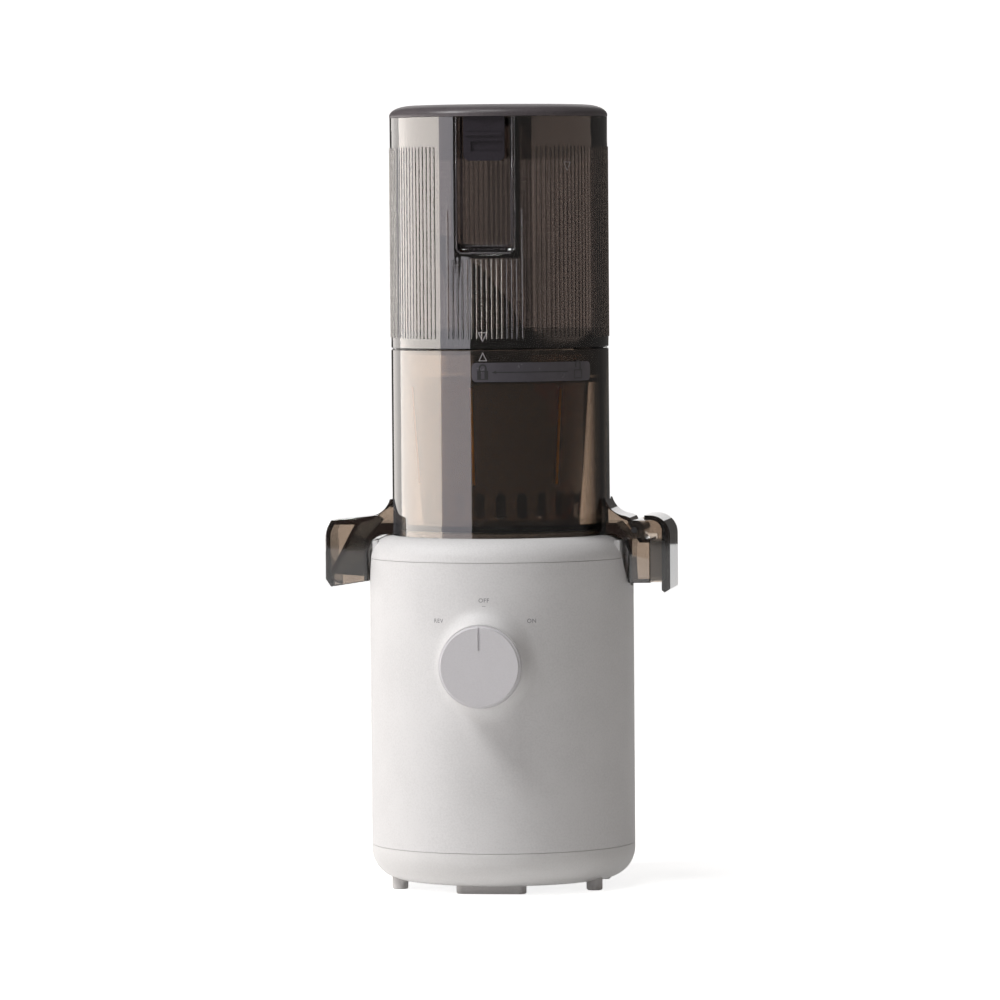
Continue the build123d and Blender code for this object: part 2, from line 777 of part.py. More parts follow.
# Floor of both channels, from the strainer's edge to the drop at the saddle wall
channel_floor = [(drum_inner - 6, bowl_floor), (saddle_floor - 2.5, bowl_floor),
                 (spout_back + spout_skin, deck_height - 2.5)]
channel_roof = [(saddle_floor + 0.5, deck_height + 8), (drum_radius, outlet_top),
                (drum_inner - 6, outlet_top)]
chute_slope_top = (spout_reach - 17.5, deck_height + 6)
chute_slope_foot = (spout_reach - 4.5, deck_height - 19.5)


def to_left(points):
    """The same points on the other side of the machine axis."""
    return [(-x, z) for x, z in points]




def sector(inner, outer, arc, start):
    """Ring sectors of the bayonet, one each quarter turn, as a plan."""
    with BuildSketch() as plan:
        with PolarLocations(0, lug_count, start_angle=start - arc / 2):
            with BuildLine():
                Line((inner, 0), (outer, 0))
                CenterArc((0, 0), outer, 0, arc)
                Line(polar(outer, radians(arc)), polar(inner, radians(arc)))
                CenterArc((0, 0), inner, 0, arc)
            make_face()
    return plan.sketch


with BuildPart() as bowl:
    with BuildSketch(level(deck_height)):
        Circle(drum_radius)
    extrude(amount=bowl_top - deck_height)
    # Juice spout on the right
    with BuildSketch(upright(spout_width / 2)):
        with BuildLine():
            Polyline(shoulder_end, (spout_back + 1, spout_top - 1), (mouth_x - 4, duct_top),
                     (mouth_x, duct_top), (mouth_x, spout_foot), (spout_back, spout_foot), *spout_under)
            ThreePointArc(spout_under[-1], neck_bend, shoulder_end)
        make_face()
        with Locations((pivot_x, pivot_z)):
            Circle(boss_radius)
    extrude(amount=spout_width)
    # Pulp spout on the left
    with BuildSketch(upright(spout_width / 2)):
        with BuildLine():
            Polyline(*to_left([shoulder_end, (spout_reach - 3, spout_top - 2.1),
                               (spout_reach - 1, spout_top - 6), (spout_reach, deck_height),
                               (spout_reach, spout_foot + 2), (spout_reach - 2.7, spout_foot - 1.9),
                               (spout_back, spout_foot + 1), *spout_under]))
            ThreePointArc(*to_left([spout_under[-1], neck_bend, shoulder_end]))
        make_face()
    extrude(amount=spout_width)
    # Soft edges down both cheeks of each spout
    cheeks = [edge for edge in bowl.edges()
              if abs(abs(edge.center().Y - axis_y) - spout_width / 2) < 0.01
              and abs(edge.center().X) > spout_back - 1 and edge.length > 3]
    fillet(cheeks, radius=spout_round)
    # Inside of the drum and the recess below its floor
    with BuildSketch(level(bowl_floor)):
        Circle(drum_inner)
    extrude(amount=bowl_top - bowl_floor, mode=Mode.SUBTRACT)
    with BuildSketch(level(deck_height)):
        Circle(drum_inner)
    extrude(amount=floor_foot - deck_height, mode=Mode.SUBTRACT)
    # Channels of the two spouts
    with BuildSketch(upright(channel_half)):
        with BuildLine():
            Polyline(*channel_floor, (spout_back + spout_skin, spout_foot + spout_skin),
                     (mouth_x + 2, spout_foot + spout_skin), (mouth_x + 2, duct_top - spout_skin),
                     (mouth_x - 5.5, duct_top - spout_skin), (spout_back - 0.5, deck_height + 7),
                     *channel_roof, close=True)
        make_face()
    extrude(amount=2 * channel_half, mode=Mode.SUBTRACT)
    with BuildSketch(upright(channel_half)):
        with BuildLine():
            Polyline(*to_left([*channel_floor, (spout_back + spout_skin, spout_foot - 6),
                               (spout_reach - 4.5, spout_foot - 6), chute_slope_foot, chute_slope_top,
                               *channel_roof]), close=True)
        make_face()
    extrude(amount=2 * channel_half, mode=Mode.SUBTRACT)
    # Tube that the auger turns on
    with BuildSketch(level(floor_foot)):
        Circle(tube_radius)
    extrude(amount=tube_top - floor_foot)
    with BuildSketch(level(floor_foot)):
        Circle(tube_bore)
    extrude(amount=tube_top - floor_foot, mode=Mode.SUBTRACT)
    # Bayonet lugs
    with BuildSketch(level(bowl_lug_foot)):
        add(sector(skirt_radius + 0.5, drum_inner + 0.3, lug_arc, lug_angle))
    extrude(amount=bowl_lug_top - bowl_lug_foot)
    chamfer(bowl.edges().group_by(Axis.Z)[-1].sort_by(SortBy.LENGTH)[-1], length=rim_groove)
    # Bores of the cap's hinge
    with BuildSketch(upright(spout_width / 2)):
        with Locations((pivot_x, pivot_z)):
            Circle(pin_radius)
    extrude(amount=spout_width, mode=Mode.SUBTRACT)

with BuildPart() as bowl_packing:
    with BuildSketch(level(tube_top)):
        Circle(tube_radius)
        Circle(shaft_radius + running_fit, mode=Mode.SUBTRACT)
    extrude(amount=1.5)

plate_start = 263.0
plate_arc = 68.7
plate_skin = 0.6
plate_tall = 9.5
plate_corner = 2.5

with BuildPart() as lock_plate:
    start = radians(plate_start)
    with BuildSketch(Plane((0, axis_y, 0), x_dir=(cos(start), sin(start), 0),
                           z_dir=(sin(start), -cos(start), 0))):
        with Locations((drum_radius + plate_skin / 2, bowl_top - 11)):
            Rectangle(plate_skin, plate_tall)
    revolve(axis=machine_axis, revolution_arc=plate_arc)
    ends = lock_plate.edges().filter_by(Axis.Z, reverse=True).filter_by(GeomType.LINE)
    fillet(ends, radius=plate_corner)

# ------------------------------------------------------------------- juice cap
cap_half = spout_width / 2 + 3
cap_front = spout_reach - 0.2
cap_back = cap_front - 4.3
cap_roof = spout_top + 0.3
cap_skin = 2.3
cap_corner = 10.0
cap_foot = spout_foot - 3.4
corner_mid = cap_corner * (1 - sqrt(0.5))
arm_inner = spout_width / 2 + moving_gap
arm_root = mouth_x + 0.5

with BuildPart() as juice_cap:
    with BuildSketch(upright(cap_half)):
        with BuildLine():
            Polyline((cap_front - cap_corner, cap_roof), (pivot_x + 5, cap_roof),
                     (pivot_x + 5, cap_roof - cap_skin), (cap_front - cap_corner, cap_roof - cap_skin))
            ThreePointArc((cap_front - cap_corner, cap_roof - cap_skin), (cap_back - 1.4, cap_roof - 4.2),
                          (cap_back, cap_roof - 8.5))
            Polyline((cap_back, cap_roof - 8.5), (cap_back, cap_foot), (cap_back + 1.5, cap_foot - 1.2),
                     (cap_front, cap_foot + 0.6), (cap_front, cap_roof - cap_corner))
            ThreePointArc((cap_front, cap_roof - cap_corner),
                          (cap_front - corner_mid, cap_roof - corner_mid),
                          (cap_front - cap_corner, cap_roof))
        make_face()
    extrude(amount=2 * cap_half)
    for y in (cap_half, -arm_inner):
        with BuildSketch(upright(y)):
            with Locations((pivot_x, pivot_z)):
                Circle(boss_radius)
            with Locations(((pivot_x + cap_back) / 2, pivot_z + 0.7)):
                Rectangle(cap_back - pivot_x, 8)
            with Locations(((arm_root + cap_back) / 2, (spout_foot + spout_top - 1.5) / 2)):
                Rectangle(cap_back - arm_root + 0.2, spout_top - spout_foot - 2.9)
            with Locations((pivot_x, pivot_z)):
                Circle(pin_radius + running_fit / 2, mode=Mode.SUBTRACT)
        extrude(amount=cap_half - arm_inner)

with BuildPart() as cap_pins:
    for y in (cap_half + 0.8, -channel_half - 0.2):
        with BuildSketch(upright(y)):
            with Locations((pivot_x, pivot_z)):
                Circle(pin_radius)
        extrude(amount=cap_half + 0.6 - channel_half)

with BuildPart() as cap_seal:
    with BuildSketch(sideways(mouth_x + 0.2, height=(spout_foot + duct_top) / 2)):
        RectangleRounded(spout_width - 3, duct_top - spout_foot - 2, 3)
    extrude(amount=cap_back - mouth_x - 0.2)

# -------------------------------------------------------------------- strainer
strainer_mouth = drum_inner - 7.7
strainer_foot = strainer_mouth - 4.8
strainer_top = bowl_top - 17
strainer_wall = 1.8
flange_radius = drum_inner - 1
flange_thick = 2.5
hub_hole = tube_radius + 1.5
slot_count = 24
slot_width = 5.0
slot_tall = 17.0
rib_count = 12
rib_width = 1.6
rib_stand = 1.2
strainer_taper = (strainer_mouth - strainer_foot) / (strainer_top - bowl_floor)

with BuildPart() as strainer:
    with BuildSketch(section):
        with BuildLine():
            Polyline((hub_hole, bowl_floor), (strainer_foot, bowl_floor), (strainer_mouth, strainer_top),
                     (flange_radius, strainer_top), (flange_radius, strainer_top + flange_thick),
                     (strainer_mouth - strainer_wall, strainer_top + flange_thick),
                     (strainer_foot - strainer_wall, bowl_floor + 2), (hub_hole, bowl_floor + 2),
                     close=True)
        make_face()
    revolve(axis=machine_axis)
    # Pressing ribs up the inside of the cone
    rib_foot = bowl_floor + slot_tall + 3
    rib_top = strainer_top - 4
    rib_root = strainer_foot - strainer_wall / 2
    rib_crest = rib_root - strainer_wall / 2 - rib_stand
    foot_shift = strainer_taper * (rib_foot - bowl_floor)
    top_shift = strainer_taper * (rib_top - bowl_floor)
    for number in range(rib_count):
        turn = 360 * number / rib_count
        along = Plane((0, axis_y, 0), x_dir=(cos(radians(turn)), sin(radians(turn)), 0),
                      z_dir=(sin(radians(turn)), -cos(radians(turn)), 0))
        with BuildSketch(along.offset(-rib_width / 2)):
            with BuildLine():
                Polyline((rib_root + foot_shift, rib_foot), (rib_root + top_shift, rib_top),
                         (rib_crest + top_shift, rib_top - 3), (rib_crest + foot_shift, rib_foot + 3),
                         close=True)
            make_face()
        extrude(amount=rib_width)
    for number in range(slot_count):
        turn = 2 * pi * (number + 0.5) / slot_count
        inside = 0.8 * strainer_foot
        radial = Plane((inside * cos(turn), axis_y + inside * sin(turn), bowl_floor + slot_tall / 2 + 1),
                       x_dir=(-sin(turn), cos(turn), 0), z_dir=(cos(turn), sin(turn), 0))
        with BuildSketch(radial):
            SlotOverall(slot_tall - 4, slot_width, rotation=90)
        extrude(amount=20, mode=Mode.SUBTRACT)

# ----------------------------------------------------------------------- auger
auger_foot = bowl_floor + 3.5
flight_radius = strainer_foot - 2.9
core_foot = flight_radius - 6.6
core_top = core_foot - 3
ledge_radius = core_foot + 4
dome_radius = core_top - 1.5
ledge_height = bowl_floor + 46
ledge_thick = 2.5
dome_top = bowl_floor + 65
flight_count = 2
flight_pitch = 32.0
flight_start = bowl_floor + 8
flight_foot = 4.8
flight_crest = 2.2
socket_radius = 8.2
socket_foot = tube_top + 1.6
socket_top = shaft_top + 3
# Cutting wing as level sections: rise over the dome, lean, shift, length, thickness, twist
wing_sections = [(-4, 2, 0, 34, 12, 0), (19, -2, 2, 34, 8, 12), (41, -8, 3, 30, 6, 20),
                 (61, -20, 2, 20, 5, 24), (78, -29, 0, 9, 3.5, 26)]

with BuildPart() as auger:
    with BuildSketch(section):
        with BuildLine():
            ledge_top = ledge_height + ledge_thick
            shoulder_point = (dome_radius - 1.5, dome_top - 4)
            Polyline(shoulder_point, (dome_radius, ledge_top), (ledge_radius, ledge_top),
                     (ledge_radius, ledge_height), (core_top, ledge_height), (core_foot, auger_foot),
                     (0, auger_foot), (0, dome_top + 2))
            ThreePointArc((0, dome_top + 2), (dome_radius / 2, dome_top + 0.3), shoulder_point)
        make_face()
    revolve(axis=machine_axis)
    # Screw flights round the core, rooted inside it
    flight_root = core_top - 1
    flight_depth = flight_radius - flight_root
    with BuildLine() as thread:
        Helix(pitch=flight_pitch, height=ledge_height - flight_start - 1.5, radius=flight_root,
              center=(0, axis_y, flight_start))
    with BuildPart(mode=Mode.PRIVATE) as flight:
        with BuildSketch(Plane((flight_root, axis_y, flight_start), x_dir=(1, 0, 0), z_dir=(0, -1, 0))):
            with BuildLine():
                Polyline((0, -flight_foot / 2), (flight_depth, -flight_crest / 2),
                         (flight_depth, flight_crest / 2), (0, flight_foot / 2), close=True)
            make_face()
        sweep(path=thread.line, is_frenet=True)
    for number in range(flight_count):
        add(flight.part.rotate(machine_axis, 360 * number / flight_count))
    # Cutting wing that reaches up into the hopper
    for rise, lean, shift, length, thick, twist in wing_sections:
        with BuildSketch(level(dome_top + rise, x=lean, y=shift)):
            SlotOverall(length, thick, rotation=twist)
    loft()
    # Hollow below: room for the bowl's tube and the metal socket
    with BuildSketch(level(auger_foot)):
        Circle(tube_radius + 0.6)
    extrude(amount=socket_foot - auger_foot, mode=Mode.SUBTRACT)
    with BuildSketch(level(auger_foot)):
        Circle(socket_radius)
    extrude(amount=socket_top - auger_foot, mode=Mode.SUBTRACT)

with BuildPart() as auger_socket:
    with BuildSketch(level(socket_foot)):
        Circle(socket_radius)
        RegularPolygon(hex_across / 2 + 0.15, 6, major_radius=False, mode=Mode.SUBTRACT)
    extrude(amount=socket_top - socket_foot)

# ---------------------------------------------------------------------- hopper
skirt_wall = 2.5
skirt_foot = bowl_top - 13.5
hopper_foot = bowl_top + seam
hopper_rim = hopper_top - seam
feed_radius = skirt_radius - 10.8
recess_foot = hopper_top - recess_length
recess_wall = 2.0
recess_corner = 3.0
recess_round = 0.8
scoop = 6.0
recess_back = -(drum_radius - recess_depth)
hinge_y = drum_radius + 3.9
hinge_z = hopper_top - 0.2
knuckle_radius = 3.6
hinge_pin_radius = 1.6
knuckle_half = 7.7
knuckle_end = 14.0

with BuildPart() as hopper:
    with BuildSketch(upright(recess_back + recess_wall, height=(recess_foot + hopper_rim) / 2)):
        Rectangle(recess_width + 2 * recess_wall, hopper_rim - recess_foot + 2 * recess_wall)
    extrude(amount=20)
    with BuildSketch(level(hopper_foot)):
        Circle(drum_radius - 0.1)
    extrude(amount=hopper_rim - hopper_foot, mode=Mode.INTERSECT)
    with BuildSketch(section):
        with BuildLine():
            Polyline((drum_radius - rim_groove, hopper_foot), (drum_radius, hopper_foot + rim_groove),
                     (drum_radius, hopper_rim), (drum_inner, hopper_rim),
                     (drum_inner, hopper_foot + 9), (feed_radius + 2, hopper_foot + 3),
                     (feed_radius, hopper_foot + 1), (feed_radius, hopper_foot),
                     (skirt_radius - skirt_wall, hopper_foot), (skirt_radius - skirt_wall, skirt_foot),
                     (skirt_radius, skirt_foot), (skirt_radius, hopper_foot), close=True)
        make_face()
    revolve(axis=machine_axis)
    with BuildSketch(level(skirt_foot)):
        add(sector(skirt_radius - 0.5, drum_inner - 0.4, lug_arc, lug_angle))
    extrude(amount=bowl_lug_foot - 0.3 - skirt_foot)
    # Hinge knuckles at the back
    for x in (-knuckle_end, knuckle_half + 0.3):
        with BuildSketch(sideways(x)):
            with Locations((hinge_y, hinge_z)):
                Circle(knuckle_radius)
            with BuildLine():
                Polyline((drum_radius - 2.8, hinge_z - 12), (hinge_y + knuckle_radius, hinge_z),
                         (hinge_y, hinge_z + 0.1), (drum_radius - 2.8, hopper_rim), close=True)
            make_face()
        extrude(amount=knuckle_end - knuckle_half - 0.3)
    with BuildSketch(sideways(-knuckle_end)):
        with Locations((hinge_y, hinge_z)):
            Circle(hinge_pin_radius)
    extrude(amount=2 * knuckle_end, mode=Mode.SUBTRACT)
    # Finger recess, open to the front and to the top
    with BuildSketch(upright(recess_back, height=(recess_foot + hopper_top + 10) / 2)):
        RectangleRounded(recess_width, hopper_top + 10 - recess_foot, recess_corner)
    extrude(amount=20, mode=Mode.SUBTRACT)

    # Scooped foot of the recess
    with BuildSketch(sideways(-recess_width / 2 - 1)):
        with BuildLine():
            scoop_mid = scoop * sqrt(0.5)
            Polyline((recess_back - scoop, recess_foot), (recess_back - scoop, recess_foot - 0.5),
                     (recess_back + 0.5, recess_foot - 0.5), (recess_back + 0.5, recess_foot + scoop),
                     (recess_back, recess_foot + scoop))
            ThreePointArc((recess_back, recess_foot + scoop),
                          (recess_back - scoop + scoop_mid, recess_foot + scoop - scoop_mid),
                          (recess_back - scoop, recess_foot))
        make_face()
    extrude(amount=recess_width + 2)
    # Soft edges down both sides of its mouth
    mouth_y = axis_y - sqrt(drum_radius**2 - (recess_width / 2) ** 2)
    sides = [edge for edge in hopper.edges().filter_by(Axis.Z)
             if abs(edge.center().Y - mouth_y) < 0.05 and edge.length > recess_length / 2]
    fillet(sides, radius=recess_round)

with BuildPart() as hopper_seal:
    with BuildSketch(level(bowl_lug_top + 0.4)):
        Circle(drum_inner - 0.2)
        Circle(skirt_radius, mode=Mode.SUBTRACT)
    extrude(amount=hopper_foot - bowl_lug_top - 0.4)

# ------------------------------------------------------------------------- lid
lid_foot = hopper_top
lid_roll = 11.0
lid_crown = lid_height - 0.8
lid_skirt_radius = drum_inner - 2.3
lid_skirt_wall = 2.0
lid_skirt_foot = lid_foot - 21
lid_skirt_rise = 10.0
tab_half = 10.2
tab_thick = 2.6
tab_front = 1.9 - drum_radius
tab_foot = lid_foot - 22

with BuildPart() as lid_skirt:
    # Clear collar below the lid, open round the finger recess, its foot swept up at one side
    with BuildSketch(level(lid_skirt_foot)):
        Circle(lid_skirt_radius)
        Circle(lid_skirt_radius - lid_skirt_wall, mode=Mode.SUBTRACT)
        with Locations((0, -lid_skirt_radius)):
            Rectangle(recess_width + 2 * recess_wall + 3, 20, mode=Mode.SUBTRACT)
    extrude(amount=lid_foot - lid_skirt_foot)
    with BuildSketch(upright(base_radius)):
        with BuildLine():
            sweep_start = (drum_radius / 3, lid_skirt_foot)
            sweep_end = (drum_radius, lid_skirt_foot + lid_skirt_rise)
            ThreePointArc(sweep_start, (0.7 * drum_radius, lid_skirt_foot + 0.26 * lid_skirt_rise),
                          sweep_end)
            Polyline(sweep_end, (drum_radius, lid_skirt_foot - 1), (drum_radius / 3, lid_skirt_foot - 1),
                     sweep_start)
        make_face()
    extrude(amount=2 * base_radius, mode=Mode.SUBTRACT)

with BuildPart() as lid:
    with BuildSketch(section):
        with BuildLine():
            Polyline((drum_radius - lid_roll, total_height), (0, total_height), (0, lid_foot),
                     (drum_radius, lid_foot), (drum_radius, total_height - lid_crown))
            EllipticalCenterArc((drum_radius - lid_roll, total_height - lid_crown), lid_roll,
                                lid_crown, start_angle=0, arc_size=90)
        make_face()
    revolve(axis=machine_axis)
    # Finger tab, with a ledge across it and a pocket for the fingertip
    with BuildSketch(upright(tab_front + tab_thick, height=(tab_foot + lid_foot + 2) / 2)):
        RectangleRounded(2 * tab_half, lid_foot + 2 - tab_foot, 3)
    extrude(amount=tab_thick)
    with BuildSketch(upright(tab_front, height=lid_foot - 8.7)):
        Rectangle(2 * tab_half - 2, 1.6)
    extrude(amount=0.8)
    with BuildSketch(upright(tab_front, height=lid_foot - 14.7)):
        with Locations((1.4, 0)):
            RectangleRounded(2 * tab_half - 4.4, 5.2, 0.8)
    extrude(amount=-1.0, mode=Mode.SUBTRACT)
    # Hinge knuckle
    with BuildSketch(sideways(-knuckle_half)):
        with Locations((hinge_y, hinge_z)):
            Circle(knuckle_radius)
        with BuildLine():
            Polyline((drum_radius - 8, lid_foot), (hinge_y, lid_foot), (hinge_y, hinge_z + knuckle_radius),
                     (drum_radius - 8, lid_foot + 4.6), close=True)
        make_face()
    extrude(amount=2 * knuckle_half)
    with BuildSketch(sideways(-knuckle_end)):
        with Locations((hinge_y, hinge_z)):
            Circle(hinge_pin_radius + running_fit / 2)
    extrude(amount=2 * knuckle_end, mode=Mode.SUBTRACT)

with BuildPart() as lid_pin:
    with BuildSketch(sideways(-knuckle_end)):
        with Locations((hinge_y, hinge_z)):
            Circle(hinge_pin_radius)
    extrude(amount=2 * knuckle_end)

# --------------------------------------------------------------------- hand out
finish(rubber_feet, "rubber_feet")
finish(front_foot, "front_foot")
finish(bottom_cover, "bottom_cover")
finish(cover_screws, "cover_screws")
finish(base_shell, "base_shell")
finish(cord_gland, "cord_gland")
finish(top_cover, "top_cover")
finish(deck_seal, "deck_seal")
finish(output_gear, "output_gear")
finish(compound_gear, "compound_gear")
finish(gear_axle, "gear_axle")
finish(gearbox_housing, "gearbox_housing")
finish(gearbox_cover, "gearbox_cover")
finish(gearbox_screws, "gearbox_screws")
finish(shaft_bushes, "shaft_bushes")
finish(drive_shaft, "drive_shaft")
finish(gear_key, "gear_key")
finish(motor_can, "motor_can")
finish(motor_stator, "motor_stator")
finish(field_coils, "field_coils")
finish(motor_rotor, "motor_rotor")
finish(motor_pinion, "motor_pinion")
finish(motor_fan, "motor_fan")
finish(motor_screws, "motor_screws")
finish(dial, "dial")
finish(switch_spindle, "switch_spindle")
finish(rotary_switch, "rotary_switch")
finish(switch_nut, "switch_nut")
finish(control_board, "control_board")
finish(capacitor, "capacitor")
finish(bowl, "bowl")
finish(bowl_packing, "bowl_packing")
finish(lock_plate, "lock_plate")
finish(juice_cap, "juice_cap")
finish(cap_pins, "cap_pins")
finish(cap_seal, "cap_seal")
finish(strainer, "strainer")
finish(auger, "auger")
finish(auger_socket, "auger_socket")
finish(hopper, "hopper")
finish(hopper_seal, "hopper_seal")
finish(lid, "lid")
finish(lid_skirt, "lid_skirt")
finish(lid_pin, "lid_pin")
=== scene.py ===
"""Looks of a cold press juicer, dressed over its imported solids.

Lengths are metres, written as millimetres times MM. Each class looks after one
sub-assembly: it adds the fine detail that the solids leave out and gives every
node its finish. Angles round the machine are measured from its front, growing
towards the juice spout.
"""

from __future__ import annotations

import json
import logging
import math
from collections.abc import Sequence
from dataclasses import dataclass, field
from enum import Enum
from functools import partial

import bmesh
import bpy
from mathutils import Matrix, Quaternion, Vector

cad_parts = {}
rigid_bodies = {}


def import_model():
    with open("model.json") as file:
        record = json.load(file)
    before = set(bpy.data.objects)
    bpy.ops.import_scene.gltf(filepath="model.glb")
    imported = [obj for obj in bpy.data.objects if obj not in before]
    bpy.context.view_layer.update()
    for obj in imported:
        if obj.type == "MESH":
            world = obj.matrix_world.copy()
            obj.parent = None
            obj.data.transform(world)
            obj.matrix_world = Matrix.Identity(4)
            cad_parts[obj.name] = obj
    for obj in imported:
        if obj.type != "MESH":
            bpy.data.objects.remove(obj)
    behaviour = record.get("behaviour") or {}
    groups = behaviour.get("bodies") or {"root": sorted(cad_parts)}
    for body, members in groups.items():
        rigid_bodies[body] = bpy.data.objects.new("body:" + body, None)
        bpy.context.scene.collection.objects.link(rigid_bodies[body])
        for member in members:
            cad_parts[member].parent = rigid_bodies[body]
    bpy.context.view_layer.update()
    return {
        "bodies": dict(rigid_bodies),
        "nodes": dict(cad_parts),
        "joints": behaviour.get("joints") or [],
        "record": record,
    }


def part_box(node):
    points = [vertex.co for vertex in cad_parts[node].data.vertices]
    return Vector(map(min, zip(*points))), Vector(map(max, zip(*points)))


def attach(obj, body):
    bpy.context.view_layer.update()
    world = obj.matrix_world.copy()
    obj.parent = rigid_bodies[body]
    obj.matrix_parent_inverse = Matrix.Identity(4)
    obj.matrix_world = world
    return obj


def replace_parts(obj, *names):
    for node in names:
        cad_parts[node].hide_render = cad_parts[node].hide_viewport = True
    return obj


LOG = logging.getLogger("juicer")
MM = 0.001
CREASE = math.radians(32)
WAVE_BAND = math.tau / 20
SHARPEST_MITRE = 0.3
LETTER_SPACING = 1.1
WELD_GAP = 0.002 * MM
Colour = tuple[float, float, float]
Point = tuple[float, float]
Span = tuple[float, float]
Stretch = tuple[float, float, float]
Socket = bpy.types.NodeSocket
Tree = bpy.types.NodeTree
Mesh = bpy.types.Mesh
Material = bpy.types.Material
Build = bmesh.types.BMesh


def linear(code: str) -> Colour:
    """Turn a colour written as six hex digits into linear red, green and blue."""
    parts = [int(code[i : i + 2], 16) / 255 for i in (0, 2, 4)]
    return tuple(p / 12.92 if p <= 0.04045 else ((p + 0.055) / 1.055) ** 2.4 for p in parts)


def shade(colour: Colour, share: float) -> Colour:
    """Return a colour at a share of its strength."""
    return tuple(part * share for part in colour)


# --- nodes


def feed(tree: Tree, target: Socket, value: object) -> None:
    """Fill in an input.

    Args:
        tree: the tree that it is in.
        target: the input.
        value: its constant, or the socket that it is linked to.
    """
    if isinstance(value, Socket):
        tree.links.new(value, target)
    else:
        target.default_value = value


def add_node(tree: Tree, kind: str, **values: object) -> bpy.types.Node:
    """Add a node and fill in its properties and inputs by name.

    Args:
        tree: the tree that it goes into.
        kind: the node's type name.
        values: properties, or constants and sockets for inputs whose names
            have their spaces written as underscores.

    Returns:
        The new node.
    """
    node = tree.nodes.new(kind)
    for key, value in values.items():
        if key in node.bl_rna.properties:
            setattr(node, key, value)
        else:
            feed(tree, node.inputs[key.replace("_", " ")], value)
    return node


def work_out(tree: Tree, operation: str, first: Socket, second: Socket | float = 0.0) -> Socket:
    """Add a sum on one or two values.

    Args:
        tree: the tree that it goes into.
        operation: MULTIPLY, ADD, SINE and so on.
        first: the first value.
        second: the second value, a socket or a number.

    Returns:
        The result's socket.
    """
    node = add_node(tree, "ShaderNodeMath", operation=operation)
    feed(tree, node.inputs[0], first)
    feed(tree, node.inputs[1], second)
    return node.outputs[0]


# --- finishes


class NodeBench:
    """Small helper that lays out one material's nodes."""

    def __init__(self, name: str) -> None:
        """Start an empty material with a principled shader.

        Args:
            name: the material's name.
        """
        self.material = bpy.data.materials.new(name)
        self.material.use_nodes = True
        self.tree = self.material.node_tree
        self.shader = self.tree.nodes["Principled BSDF"]
        self.output = self.tree.nodes["Material Output"]

    def add(self, kind: str, **values: object) -> bpy.types.Node:
        """Add a node and fill in its properties and inputs by name."""
        return add_node(self.tree, kind, **values)

    def set(self, **values: object) -> None:
        """Fill in the shader's own inputs, their names' spaces written as underscores."""
        for key, value in values.items():
            feed(self.tree, self.shader.inputs[key.replace("_", " ")], value)

    def place(self, stretch: Stretch = (1, 1, 1)) -> Socket:
        """Return object coordinates, scaled along X, Y and Z."""
        where = self.add("ShaderNodeTexCoord").outputs["Object"]
        return self.add("ShaderNodeMapping", Vector=where, Scale=stretch).outputs["Vector"]

    def noise(self, size: float, detail: float, stretch: Stretch = (1, 1, 1)) -> Socket:
        """Add noise from 0 to 1 with octaves of detail, its grains about a size in metres."""
        node = self.add("ShaderNodeTexNoise", Scale=1.0 / size, Detail=detail, Vector=self.place(stretch))
        return node.outputs["Fac"]

    def bump(self, height: Socket, distance: float) -> None:
        """Bump the surface by a height field, its depth in metres."""
        node = self.add("ShaderNodeBump", Distance=distance, Height=height)
        self.set(Normal=node.outputs["Normal"])

    def vary_colour(self, factor: Socket, low: Colour, high: Colour,
                    start: float = 0.35, end: float = 0.65) -> None:
        """Drive the base colour between two colours.

        Args:
            factor: the value that chooses between them.
            low: colour at the low end.
            high: colour at the high end.
            start: factor at which the change starts.
            end: factor at which it ends.
        """
        ramp = self.add("ShaderNodeValToRGB", Fac=factor)
        for stop, at, colour in zip(ramp.color_ramp.elements, (start, end), (low, high)):
            stop.position = at
            stop.color = (*colour, 1)
        self.set(Base_Color=ramp.outputs["Color"])

    def vary_roughness(self, factor: Socket, low: float, high: float) -> None:
        """Drive the roughness between two values by a factor from 0 to 1."""
        node = self.add("ShaderNodeMapRange", Value=factor, To_Min=low, To_Max=high)
        self.set(Roughness=node.outputs["Result"])


@dataclass(frozen=True)
class GrainedPlastic:
    """Moulded plastic with a fine spark-eroded grain and a slow drift of tone."""

    name: str
    colour: Colour
    roughness: float = 0.5
    grain: float = 0.9 * MM
    depth: float = 0.05 * MM
    fleck: float = 0.93
    cloud: float = 24 * MM
    cloud_share: float = 0.35
    tone_ends: Span = (0.36, 0.58)
    sheen_drift: float = 0.07

    def build(self) -> Material:
        """Make the material.

        Returns:
            The material.
        """
        bench = NodeBench(self.name)
        grain = bench.noise(self.grain, detail=3.0)
        cloud = bench.noise(self.cloud, detail=2.0)
        tone = bench.add("ShaderNodeMix", Factor=self.cloud_share, A=grain, B=cloud).outputs["Result"]
        bench.vary_colour(tone, shade(self.colour, self.fleck), self.colour, *self.tone_ends)
        bench.vary_roughness(grain, self.roughness - self.sheen_drift, self.roughness + self.sheen_drift)
        bench.bump(grain, self.depth)
        return bench.material


